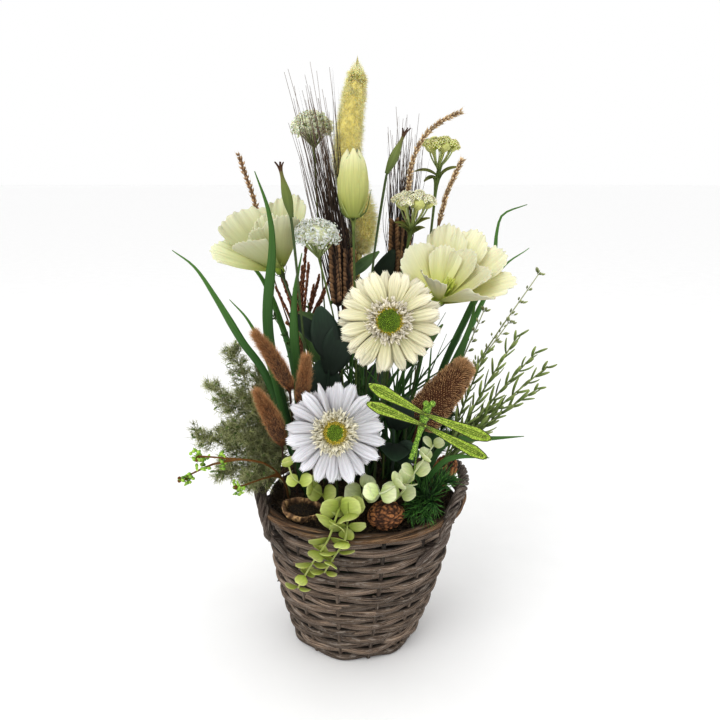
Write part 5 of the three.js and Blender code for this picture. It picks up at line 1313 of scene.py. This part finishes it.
def leafy_twigs_behind(rng):
    """Twigs with tiny leaves, and five lance leaves that look out between the flowers."""
    batch = Batch()
    count = BEHIND["twig_leaves"]
    for k in range(BEHIND["twigs"]):
        root = np.array([rng.uniform(-50, 20), rng.uniform(0, 40), SOIL - 4])
        tip = np.array([-88 + 6 * k + rng.normal(0, 4), root[1] + rng.uniform(-5, 20), rng.uniform(320, 405)])
        line = bent(root, tip, 40, [rng.normal(0, 6), 0, 10])
        tube(batch, line, (0.8, 0.35), 5, 0.6)
        t = rng.uniform(0.35, 1, count)
        centre, way, out = around(line, t, rng.uniform(0, TURN, count))
        ends = centre + unit(way + out * 1.1) * rng.uniform(4, 9, (count, 1))
        leaves(batch, centre, ends, unit(out + [0, -0.8, 0.4]), 1.2, oval(0.08, 0.84),
               rng.uniform(0.3, 1, count), rows=6, columns=3, cup=0.4)
    roots = [(-14, -20, 352), (-6, 10, 405), (52, 20, 300), (36, 40, 330), (-28, 10, 300)]
    tips = [(-57, -20, 374), (26, 10, 432), (96, 24, 352), (60, 44, 392), (-60, 16, 345)]
    leaves(batch, roots, tips, (0.1, -0.9, 0.4), [6.5, 6.5, 6, 6, 6],
           lambda t: oval(0.04, 0.92, 0.9)(t) * (1.1 - 0.3 * t), np.linspace(0.1, 0.7, 5), rows=18, columns=7,
           cup=0.3, bow=0.05)
    piece("leafy_twigs_behind", batch, GREEN_LEAF, "grass_green", thick=0.3)


# Dark leaves low down: partly leaves, partly painted shade between the stems.
def dark_leaves_and_shade_behind(rng):
    batch = Batch()
    count = BEHIND["dark_leaves"]
    roots = triples(rng.uniform(-34, 84, count), rng.uniform(14, 46, count), rng.uniform(184, 236, count))
    reach = triples(rng.uniform(-26, 26, count), rng.uniform(-8, 12, count), rng.uniform(20, 44, count))
    leaves(batch, roots, roots + reach, unit(rng.normal(0, 0.25, (count, 3)) + [0, -0.9, 0.4]),
           rng.uniform(9, 14, count), BROAD, rng.uniform(0, 0.8, count), rows=14, columns=7, bow=0.08)
    piece("dark_leaves_and_shade_behind", batch, DARK_LEAF, "leaf_dark", thick=0.5)


behind = np.random.default_rng(67)
thin_blades_behind(behind)
leafy_twigs_behind(behind)
dark_leaves_and_shade_behind(behind)

# %% [markdown]
# ## Red-brown twigs
# Dry twigs at the left, with narrow red-brown grains close along them from a third of their height up. Some
# follow the solid twigs and the others fill the bunch out to its left.

# %% Red-brown twigs
TWIG = finish("red_brown_twig", [(0, "#5c3325"), (1, "#83513a")], 0.75, mottle=4, depth=0.25)
TWIG_GRAIN = finish("red_brown_grain", [(0, "#4a281b"), (0.5, "#7a4a33"), (1, "#a87a58")], 0.8, spread=0.3)
TWIG_TIPS = [(-86, 36, 392), (-58, 30, 398), (-48, 20, 420), (-76, 40, 400), (-50, 30, 454), (-66, 44, 390)]
TWIG_GRAINS = 110
LOOSE_TWIGS = 10


def twig_grains():
    rng = np.random.default_rng(46)
    batch = Batch()
    loose = [(-80 + 6 * k, 22 + 3 * k, 380 + rng.uniform(-30, 40)) for k in range(LOOSE_TWIGS)]
    share = np.arange(TWIG_GRAINS)
    for k, tip in enumerate(TWIG_TIPS + loose):
        line = smooth_line([(-50, 20, 212 + 4 * k % 24), (-56 - k % 6, 20 + 2 * (k % 9), 320), tip], 60)
        tube(batch, line, (1.2, 0.6), 5, 0.2)
        centre, way, out = around(line, 0.36 + 0.62 * share / TWIG_GRAINS, share * GOLDEN)
        lean = unit(way + out * rng.uniform(0.15, 0.45, (TWIG_GRAINS, 1)))
        tips = centre + lean * rng.uniform(4, 6, (TWIG_GRAINS, 1))
        tones = rng.random(TWIG_GRAINS)
        strands(batch, centre + out * 0.5, tips, 1.0, tones, profile=GRAIN, sides=5, steps=4)
    piece("red_twig_grains", batch, TWIG_GRAIN, "twig_red")


twig_grains()
dress(TWIG, "red_twigs", smooth=1)

# %% [markdown]
# ## Feathery foliage
# The filler at the left is fine: threads a fraction of a millimetre wide on thin ribs. Each frond gets side
# shoots in golden-angle order round its rib, and each shoot gets its own small curled threads and a few
# leaves. Such foliage always has a stem to a fork and ribs from there, so one function makes those and hands
# each rib on for what grows from it.

# %% Feathery foliage
SAGE = finish("dried_sage_thread", [(0, "#6d763c"), (0.5, "#9da36c"), (1, "#cfcea6")], 0.85, spread=0.4)
LEAFLET = finish("small_green_leaflet", [(0, "#3a5226"), (0.5, "#587336"), (1, "#7c9350")], 0.7, spread=0.35)
LEFT_TIPS = [(-124, -26, 336), (-148, -32, 300), (-168, -30, 246), (-100, -14, 306), (-126, 2, 280),
             (-146, 8, 236), (-90, 12, 272), (-122, -52, 262), (-136, -56, 216), (-108, -62, 206),
             (-102, -8, 308), (-80, 0, 292), (-112, -14, 280), (-72, -4, 256), (-104, -34, 240)]
LEFT_EDGE = -182.0  # nothing of the left foliage reaches beyond this
FEATHER = {"shoots": 84, "curls": 20, "leaves": 40}


def ribs(batch, root, fork, tips, thick, tone, steps=40):
    """A stem from its root to a fork, then a rib from there to each tip, one by one."""
    tube(batch, rooted(*root, [fork], 12), 1.4, 8, 0.2)
    for tip in tips:
        rib = bent(fork, tip, steps, [0, 0, 6])
        tube(batch, rib, thick, 6, tone)
        yield rib


def feathery():
    """Curly threads on thin shoots, and small leaves among them."""
    rng = np.random.default_rng(61)
    threads, leaflets = Batch(), Batch()
    shoots, curls, few = FEATHER["shoots"], FEATHER["curls"], FEATHER["leaves"]
    for rib in ribs(threads, (-72, -14), (-82, -18, 192), LEFT_TIPS, (1.0, 0.35), 0.25):
        t = np.sqrt(rng.uniform(0.03, 1, shoots))
        centre, way, out = around(rib, t, np.arange(shoots) * GOLDEN)
        towards = unit(out * 0.62 + way * 0.5 + rng.normal(0, 0.2, (shoots, 3)))
        reach = towards * (23 * (1.15 - 0.6 * t) * rng.uniform(0.6, 1.1, shoots))[:, None]
        bow = rng.normal(0, 2.2, (shoots, 3))
        strands(threads, centre, centre + reach, 0.42, rng.random(shoots), steps=3, bow=bow, shares=(0, 0.5))
        s = rng.uniform(0.15, 1, (shoots, curls, 1))
        starts = centre[:, None] + reach[:, None] * s + bow[:, None] * (4 * s * (1 - s))
        spread = unit(towards[:, None] * 0.6 + rng.normal(0, 0.7, (shoots, curls, 3)))
        far = starts + spread * rng.uniform(4, 10, (shoots, curls, 1))
        far[..., 0] = np.maximum(far[..., 0], LEFT_EDGE)
        curl = rng.normal(0, 1.5, (shoots * curls, 3))
        tones = np.repeat(rng.random(shoots), curls)
        strands(threads, starts.reshape(-1, 3), far.reshape(-1, 3), 0.26, tones, bow=curl, shares=(0.3, 1))
        pick = rng.choice(shoots, few, replace=False)
        for k in range(2):
            base = centre[pick] + reach[pick] * (0.5 + 0.2 * k)
            lean = unit(towards[pick] + rng.normal(0, 0.6, (few, 3)))
            end = base + lean * rng.uniform(3, 6, (few, 1))
            end[:, 0] = np.maximum(end[:, 0], LEFT_EDGE)
            leaves(leaflets, base, end, unit(rng.normal(0, 1, (few, 3)) + [0, -0.6, 0.6]), 1.1,
                   oval(0.06, 0.88), rng.random(few), rows=4, columns=3, cup=0.4)
    piece("left_feather_threads", threads, SAGE, "spray_sage", "feathery_spray")
    piece("left_feather_leaflets", leaflets, LEAFLET, "spray_sage", thick=0.2)


feathery()

# %% [markdown]
# ## Narrow leaves, buds and needles
# The filler at the right has flat narrow leaves that stand close to the stem, or small buds in clusters at
# the joints of thin twigs, and the low tufts are short pointed needles all round their ribs.

# %% Narrow leaves, buds and needles
OLIVE = finish("moulded_olive_leaf", [(0, "#4a5b2c"), (0.5, "#6f8144"), (1, "#98a566")], 0.6,
               streak=(20, 0.8), depth=0.12)
BUDDED = finish("budded_twig", [(0, "#646f42"), (0.5, "#868f62"), (1, "#b0b48c")], 0.75)
NEEDLES = finish("moulded_needle", [(0, "#1c3a1a"), (0.5, "#2f5a24"), (1, "#568a36")], 0.5, spread=0.35)
NARROW_TIPS = [(166, -30, 352), (188, -20, 332), (195, -40, 322), (194, -16, 292), (148, -16, 270),
               (134, -26, 332)]
NARROW_LEAVES = 27
JOINTS = [*np.arange(0.3, 0.97, 0.075), 1.0]


def linear_foliage():
    """Stems with flat narrow leaves that stand close to them."""
    rng = np.random.default_rng(62)
    batch = Batch()
    count = NARROW_LEAVES
    for rib in ribs(batch, (72, -38), (92, -42, 214), NARROW_TIPS, (1.1, 0.5), 0.3):
        t = np.linspace(0.14, 0.99, count)
        centre, way, out = around(rib, t, np.arange(count) * GOLDEN)
        towards = unit(way * 0.86 + out * 0.42 + rng.normal(0, 0.06, (count, 3)))
        ends = centre + towards * (25 * (1.1 - 0.55 * t) * rng.uniform(0.6, 1.1, count))[:, None]
        leaves(batch, centre, ends, unit(out + [0, -0.7, 0.3]), 1.5, oval(0.1, 0.86, 0.5), rng.random(count),
               rows=9, columns=3, cup=0.5, bow=rng.uniform(-0.05, 0.08, count))
    piece("right_linear_foliage", batch, OLIVE, "spray_sage", "linear_spray", thick=0.35)


def budded_foliage():
    """Thin twigs with a few small pointed buds at each joint."""
    rng = np.random.default_rng(63)
    batch = Batch()
    tips = [(194, 14, 408), (163, 4, 358), (140, 26, 366)]
    for rib in ribs(batch, (78, 6), (88, 8, 230), tips, (1.1, 0.5), 0.3, 60):
        for share in JOINTS:
            count = 9 if share == 1.0 else rng.integers(3, 6)
            t = np.full(count, min(share, 0.995))
            centre, way, out = around(rib, t, rng.uniform(0, TURN, count))
            stalk = centre + unit(out + way * 0.5) * rng.uniform(2, 5, (count, 1))
            strands(batch, centre, stalk, 0.35, 0.3, steps=1, shares=(0.1, 0.3))
            ends = stalk + unit(way + out * 0.7) * rng.uniform(3.5, 6, (count, 1))
            strands(batch, stalk, ends, 1.05, rng.random(count), profile=GRAIN, sides=6, steps=4)
    piece("right_budded_foliage", batch, BUDDED, "spray_sage", "budded_spray")


def needles(name, node, root, fork, tips, shoots, reach, thick, seed):
    """Ribs from the fork to the tips, each with pointed needles all round."""
    rng = np.random.default_rng(seed)
    batch = Batch()
    for rib in ribs(batch, root, fork, tips, (1.0, 0.35), 0.25):
        t = np.sqrt(rng.uniform(0.02, 1, shoots))
        centre, way, out = around(rib, t, np.arange(shoots) * GOLDEN)
        towards = unit(out * 0.5 + way * 0.62 + rng.normal(0, 0.16, (shoots, 3)))
        ends = centre + towards * (reach * (1.1 - 0.5 * t) * rng.uniform(0.6, 1.1, shoots))[:, None]
        bow = rng.normal(0, 0.7, (shoots, 3))
        strands(batch, centre, ends, thick, rng.random(shoots), sides=4, steps=3, bow=bow)
    piece(name, batch, NEEDLES, "needle_green", node)


linear_foliage()
budded_foliage()
needles("dark_needle_foliage", "pine_tuft", (76, 30), (86, 32, 192),
        [(124, 14, 240), (112, 42, 244), (130, 36, 222), (96, 62, 232), (112, 64, 210)], 210, 17, 0.5, 64)
needles("bright_green_tuft", "green_tuft", (66, -54), (76, -64, 186),
        [(60, -76, 190), (98, -68, 210), (78, -90, 194), (92, -48, 208), (68, -54, 210), (60, -62, 202),
         (56, -86, 182), (70, -94, 182)], 64, 25, 0.85, 65)
needles("back_needle_foliage", "fern_tuft_back", (-38, 62), (-42, 66, 194),
        [(-70, 92, 266), (-30, 100, 254), (-88, 68, 246), (-10, 92, 232), (-56, 104, 220)], 210, 17, 0.5, 66)

# %% [markdown]
# ## Berry twig
# A knotty brown twig with bright green buds at its forks. Each cluster is drawn at random round its fork, on
# short stalks, with a pointed leaf from each bud.

# %% Berry twig
BUD_LEAF = finish("bright_bud", [(0, "#5c8428"), (0.5, "#86ad3c"), (1, "#b4cf62")], 0.5, spread=0.2)
KNOTTY = finish("knotty_twig", [(0, "#7d541c"), (1, "#a87a2e")], 0.75, mottle=2.5, depth=0.3)
FORKS = (((-163, -90, 222), 14), ((-148, -99, 248), 13), ((-112, -98, 216), 10), ((-146, -91, 236), 7),
         ((-128, -90, 241), 6))  # a place and its count of buds
BUD_EDGE, LEAF_EDGE = -174, -178  # neither buds nor their leaves reach further left


def berry_buds():
    """Small green buds at the forks, each cluster with a few pointed leaves."""
    rng = np.random.default_rng(71)
    batch = Batch()
    for fork, count in FORKS:
        places = fork + rng.normal(0, 1, (count, 3)) * [4.2, 3.5, 4.2]
        places[:, 0] = np.maximum(places[:, 0], BUD_EDGE)
        way = unit(rng.normal(0, 1, (count, 3)) + [-0.6, -0.2, 0.3])
        strands(batch, places - way * 2.0, places + way * 2.3, 1.7, rng.random(count), profile=GRAIN, sides=7,
                steps=6)
        strands(batch, np.tile(fork, (count, 1)), places, 0.4, 0.2, steps=1, shares=(0, 0.2))
        ends = places + way * rng.uniform(4, 7.5, (count, 1))
        ends[:, 0] = np.maximum(ends[:, 0], LEAF_EDGE)
        leaves(batch, places, ends, unit(rng.normal(0, 1, (count, 3)) + [0, -1, 0.5]), 1.3,
               oval(0.08, 0.88, 0.8), rng.random(count), rows=5, columns=3, cup=0.4)
    piece("green_buds", batch, BUD_LEAF, "berry_green")


berry_buds()
dress(KNOTTY, "berry_twig", smooth=1)

# %% [markdown]
# ## Eucalyptus
# Eucalyptus leaves are round and waxy, in opposite pairs that turn by a quarter from pair to pair and get
# smaller to the tip. The wax gives a soft, pale bloom over the green.

# %% Eucalyptus
WAX = {"streak": (8, 2.2), "depth": 0.12, "relief": 0.2, "glow": 0.05}
WAXY = finish("waxy_eucalyptus", [(0, "#7d8c38"), (0.4, "#a3b056"), (1, "#c0c880")], 0.55, spread=0.22, **WAX)
WAXY_PALE = finish("pale_eucalyptus", [(0, "#8f9f58"), (0.4, "#bcc78e"), (1, "#d9deb9")], 0.55, spread=0.2,
                   **WAX)


def round_leaf(t):
    """Nearly a circle, narrow at the stem."""
    circle = 1 - (2 * np.clip(t * 1.02, 0, 1) - 1.08) ** 2 * 0.97
    return np.sqrt(np.clip(circle, 0.004, 1)) * np.clip(0.12 + 4 * t, 0, 1)


def eucalyptus(name, x, y, lines, pairs, size, start, material, seed):
    """Stems with pairs of leaves of this size, from `start` of the way up."""
    rng = np.random.default_rng(seed)
    batch = Batch()
    for points in lines:
        stem = rooted(x, y, points, STEM_STEPS)
        tube(batch, stem, (1.35, 0.6), 8, 0.1)
        share = np.linspace(start, 0.99, pairs)
        centre, way, _ = around(stem, share, share)
        for k in range(pairs):
            turn = 1.57 * k + rng.uniform(-0.3, 0.3)
            for side in (-1, 1):
                out = np.array([math.cos(turn) * side, math.sin(turn) * side * 0.6, 0.25]) + 0.35 * way[k]
                out = unit(out + rng.normal(0, 0.12, 3))
                reach = size * (1.15 - 0.55 * share[k]) * rng.uniform(0.85, 1.1)
                face = unit(np.cross(np.cross(out, way[k]), out) + [0, -0.3, 0.1])
                leaves(batch, centre[k], centre[k] + out * reach * 1.5, face, reach * 0.78, round_leaf,
                       rng.random(), rows=13, columns=9, cup=0.14, bow=0.04, curl=rng.uniform(-0.12, 0.1))
    piece(name + "_eucalyptus", batch, material, "eucalyptus_green", "eucalyptus_" + name, thick=0.45)


eucalyptus("trailing", -10, -70, [[(-14, -104, 196), (-24, -126, 176), (-40, -126, 150), (-54, -122, 122)],
                                  [(-6, -104, 196), (-8, -126, 176), (-18, -128, 160), (-28, -124, 140)]],
           7, 14.5, 0.36, WAXY, 81)
eucalyptus("left", -22, -58, [[(-36, -88, 208), (-56, -102, 226), (-62, -102, 240)]], 4, 13.5, 0.45, WAXY, 83)
eucalyptus("middle", 8, -58, [[(10, -86, 206), (26, -102, 212), (40, -106, 222)]], 4, 15.5, 0.42,
           WAXY_PALE, 84)
eucalyptus("right", 38, -56, [[(48, -84, 205), (60, -94, 232), (76, -98, 260)]], 5, 13.5, 0.42,
           WAXY_PALE, 85)

# %% [markdown]
# ## Fruit stones
# A peach stone is covered in deep winding furrows. A sphere is stretched to the stone's length, and ridged
# noise cuts the furrows into its mesh: the absolute value of noise has sharp valleys where the noise crosses
# zero.

# %% Fruit stones
STONE = finish("peach_stone", [(0, "#2c1a10"), (0.45, "#63402a"), (1, "#a06d44")], 0.85, spread=0.1,
               mottle=1.6, depth=0.35, relief=0.9)


def ball(rows, columns, first, last):
    """A unit sphere as a grid, between two angles from its pole."""
    lat, lon = np.meshgrid(np.linspace(first, last, rows), np.linspace(0, TURN, columns, endpoint=False),
                           indexing="ij")
    return polar(np.sin(lat), lon, np.cos(lat))


def ridges(points, scale, seed):
    """Ridged noise at each point, from 0 in a furrow to 1 on a crest."""
    shift = Vector((seed, 2 * seed, -seed))
    flat = points.reshape(-1, 3) / scale
    values = [min(1.0, 2.6 * abs(noise.noise(Vector(p) + shift))) for p in flat]
    return np.array(values).reshape(points.shape[:-1])


def furrowed(name, at, towards, length, radius, scale, deep, seed, *nodes):
    batch = Batch()
    sphere = ball(60, 90, 0.02, math.pi - 0.02)
    pointed = sphere * [radius, radius, length / 2] * (1 + 0.05 * np.abs(sphere[..., 2:]) ** 8)
    crest = ridges(pointed * [1, 1, 0.55], scale, seed)
    pointed = pointed * (1 - deep / radius * (1 - crest))[..., None]
    batch.grids((at + pointed @ facing(towards).T)[None], crest, crest, wrap=True, caps=True)
    piece(name, batch, STONE, "stone_brown", *nodes)


furrowed("front_stone", (32, -84, 180), (1, 0.15, 0.1), 36.6, 15.2, 3.3, 1.7, 5, "fruit_stone_front")
furrowed("right_husk", (96, -26, 203), (0.5, 0.4, 0.75), 37.5, 13.0, 4.5, 2.2, 9)
dress(STONE, "fruit_husk_right", smooth=0)

# %% [markdown]
# ## Bark cup
# Half a dry shell with moss in it. Its profile, outside and inside, is turned round an oval, and the same
# ridged noise with a coarser grain makes the bark.

# %% Bark cup
BARK = finish("dry_bark", [(0, "#4a3524"), (0.5, "#8c6d4d"), (1, "#c9a878")], 0.85, spread=0.2, mottle=2.2,
              depth=0.3, relief=0.8)
CUP_AT = np.array([-52, -67, 179.5])
CUP_TURN = facing((0.12, -0.25, 0.95))
CUP_PROFILE = [(0.02, 0, -14), (0.55, 0, -12), (0.88, 0, -7), (1.0, 0, -0.4), (0.95, 0, 1.2), (0.85, 0, 0),
               (0.74, 0, -6), (0.45, 0, -9.6), (0.02, 0, -11)]  # the radius as a share of the rim's, and z
CUP_FIBRES = 900


def bark_cup():
    profile = smooth_line(CUP_PROFILE, 46)
    angle = np.linspace(0, TURN, 72, endpoint=False)
    share, level = profile[:, :1], profile[:, 2:]
    wavy = 1 + 0.05 * np.sin(3 * angle + 1) + 0.03 * np.sin(7 * angle)
    local = polar(share * wavy, angle, level + 0.8 * np.sin(5 * angle) * share**4) * [23, 15, 1]
    crest = ridges(local * [1, 1, 0.5], 4.0, 3)
    local = local * (1 + 0.05 * (crest - 0.5))[..., None]
    batch = Batch()
    batch.grids((CUP_AT + local @ CUP_TURN.T)[None], crest, crest, wrap=True, caps=True)
    piece("bark_cup", batch, BARK, "bark", "shell_cup")


def cup_fibres():
    rng = np.random.default_rng(12)
    batch = Batch()
    count = CUP_FIBRES
    r, a = np.sqrt(rng.random(count)), rng.uniform(0, TURN, count)
    base = polar(r, a, -3 + 2.5 * (1 - r)) * [16, 10, 1]
    way = unit(rng.normal(0, 1, (count, 3)) * [1, 1, 0.4] + [0, 0, 0.2])
    far = base + way * rng.uniform(3, 6, (count, 1)) * (1 - 0.5 * r[:, None])
    strands(batch, CUP_AT + base @ CUP_TURN.T, CUP_AT + far @ CUP_TURN.T, 0.4, rng.random(count),
            bow=rng.normal(0, 0.7, (count, 3)))
    piece("cup_fibres", batch, MOSS, "moss")


bark_cup()
cup_fibres()
dress(MOSS, "shell_cup_moss", smooth=1)

# %% [markdown]
# ## The dragonfly
# A craft dragonfly: wire wings covered in glitter film, and a body dipped in green glitter. Glitter is flakes
# about half a millimetre wide, each at its own angle. A Voronoi texture makes the flakes; its cell colour
# paints each flake from dark to bright, as painted glints, and the bump tilts it, so that a few also catch
# the light at any angle. The flakes are drawn at 0.7 mm, a little coarse, so that they show.

# %% Dragonfly
FLAKE = 0.7


def glitter(name, dark, mid, bright):
    material, tree = blank(name)
    space = add(tree, "TexCoord").outputs["Object"]
    cells = add(tree, "TexVoronoi", inputs={"Vector": space, "Scale": 1 / (FLAKE * MM)})
    split = add(tree, "SeparateColor", inputs={"Color": cells.outputs["Color"]})
    # Painted glints: each flake's colour runs from dark to bright with its cell value, and the same value
    # tilts it in the bump.
    return surface(material, colours(tree, split, [(0, dark), (0.55, mid), (1, bright)]), split.outputs[1],
                   0.8, 0.25, {"Metallic": 0.35, "Roughness": 0.3})


WING_FILM = glitter("glitter_film", "#6f8c22", "#94b034", "#cfe06a")
BODY_GLITTER = glitter("green_glitter", "#3d5a1c", "#6f9a2c", "#b8d860")
WIRE = finish("dark_wire", [(0, "#2a2a1a"), (1, "#3c3d22")], 0.5, mottle=3)
WINGS = (((66, -109.9, 295), (14, -118, 326), 6.3), ((66, -109.9, 295), (128, -112, 271), 6.3),
         ((66, -110.4, 284), (12, -116, 308), 5.7), ((66, -110.4, 284), (124, -116, 254), 5.7))
VEINS = ((-0.45, 0.2), (0.0, 0.0), (0.45, -0.2))  # where each starts across the wing, and how it bends
BODY_LINE = [(54, -108, 250), (60, -107, 270), (66, -105, 290), (70, -104, 304)]


def wing(film, wire, back, tip, half):
    """A wing from its back to its tip: the film, the wire round it, and three veins."""
    back, tip = np.array(back, float), np.array(tip, float)
    way = unit(tip - back)
    side = unit(np.cross(way, [0, -1, 0.25]))
    face = np.cross(side, way)
    length = np.linalg.norm(tip - back)
    outline = lambda t: half * np.clip(0.12 + 1.1 * t, 0, 1) ** 0.8 * np.sqrt(np.clip((1.01 - t) * 4, 0, 1))
    t = np.linspace(0, 1, 26)
    u = np.linspace(-1, 1, 7)
    grid = (back + way * (length * t)[:, None, None] + side * (outline(t)[:, None] * u)[..., None]
            + face * (0.5 * np.cos(3 * u) * np.sin(6 * t)[:, None])[..., None])
    film.grids(grid[None], 0.5, t[:, None])
    tube(wire, np.vstack([grid[:, 0], grid[::-1, -1][1:]]), 0.38, 6, 0.3)
    reach = np.linspace(0.02, 0.93, 14)
    for vein, bend in VEINS:
        across = (vein + bend * reach) * outline(reach)
        line = back + way * (length * reach)[:, None] + side * across[:, None] + face * 0.45
        tube(wire, line, 0.2, 5)


def dragonfly():
    film, wire, body = Batch(), Batch(), Batch()
    for back, tip, half in WINGS:
        wing(film, wire, back, tip, half)
    t = np.linspace(0, 1, 70)
    tail = 2.4 + 0.35 * np.cos(TURN * t * 14)
    thorax = 4.9 * np.exp(-((t - 0.76) / 0.13) ** 2)
    head = 4.0 * np.exp(-((t - 0.97) / 0.05) ** 2)
    tube(body, smooth_line(BODY_LINE, 70), np.maximum(np.maximum(tail, thorax), head), 14)
    eye = 3.1 * ball(12, 16, 0.1, 3.04)
    for dx in (-3, 3):
        body.grids((np.array([70 + dx, -106.5, 304]) + eye)[None], wrap=True, caps=True)
    for dx in (-1, 1):
        for k in range(3):
            foot = np.array([65 + 2 * k + 3 * dx, -106, 286 + 5 * k])
            knee = foot + [6 * dx, 3, 2 - 3 * k]
            tube(wire, smooth_line([foot, knee, knee + [3 * dx, 4, -5]], 8), 0.4, 5, 0.4)
    piece("wing_film", film, WING_FILM, "dragonfly_green", "dragonfly_forewings", "dragonfly_hindwings",
          thick=0.35)
    piece("glitter_body", body, BODY_GLITTER, "dragonfly_green")
    piece("wing_wires", wire, WIRE, "dragonfly_green")


dragonfly()
dress(BODY_GLITTER, "dragonfly_body", smooth=1)

# %% [markdown]
# ## Floor and light
# A plain pale floor and two large soft lights, as in a studio: the key from the upper left in front, a
# weaker fill from the right, and an even white surround. The view's gamma darkens the middle tones a little,
# as a camera's contrast does, and leaves white as it is.

# %% Floor and light
PAPER = finish("matt_paper", [(0, "#fcfcfc"), (1, "#fcfcfc")], 0.9, spread=0.0, mottle=60, depth=0.01,
               relief=0)
FLOOR_HALF = 40.0  # metres
AIM = Vector((0, 0, 0.3))

paper = bpy.data.meshes.new("floor")
paper.from_pydata([(x, y, 0) for y in (-FLOOR_HALF, FLOOR_HALF) for x in (-FLOOR_HALF, FLOOR_HALF)], [],
                  [(0, 1, 3, 2)])
paper.materials.append(PAPER)
floor = bpy.data.objects.new("floor", paper)
bpy.context.scene.collection.objects.link(floor)
floor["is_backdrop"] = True


def soft_light(name, place, size, watts):
    light = bpy.data.lights.new(name, "AREA")
    light.size = size
    light.energy = watts
    lamp = bpy.data.objects.new(name, light)
    lamp.location = place
    lamp.rotation_euler = (AIM - Vector(place)).to_track_quat("-Z", "Y").to_euler()
    bpy.context.scene.collection.objects.link(lamp)


soft_light("key", (-0.9, -1.3, 1.7), 1.3, 15)
soft_light("fill", (1.4, -1.0, 1.0), 1.4, 3)
world = bpy.data.worlds.new("surround")
world.use_nodes = True
background = world.node_tree.nodes["Background"]
background.inputs["Color"].default_value = linear("#ffffff")
background.inputs["Strength"].default_value = 1.0
bpy.context.scene.world = world
bpy.context.scene.view_settings.view_transform = "Standard"
bpy.context.scene.view_settings.gamma = 0.86
print("lights", len(bpy.data.lights))

# %% Sizes and finish
seen_box = [list(corner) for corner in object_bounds()]
print("visual box", [[round(c, 3) for c in corner] for corner in seen_box])
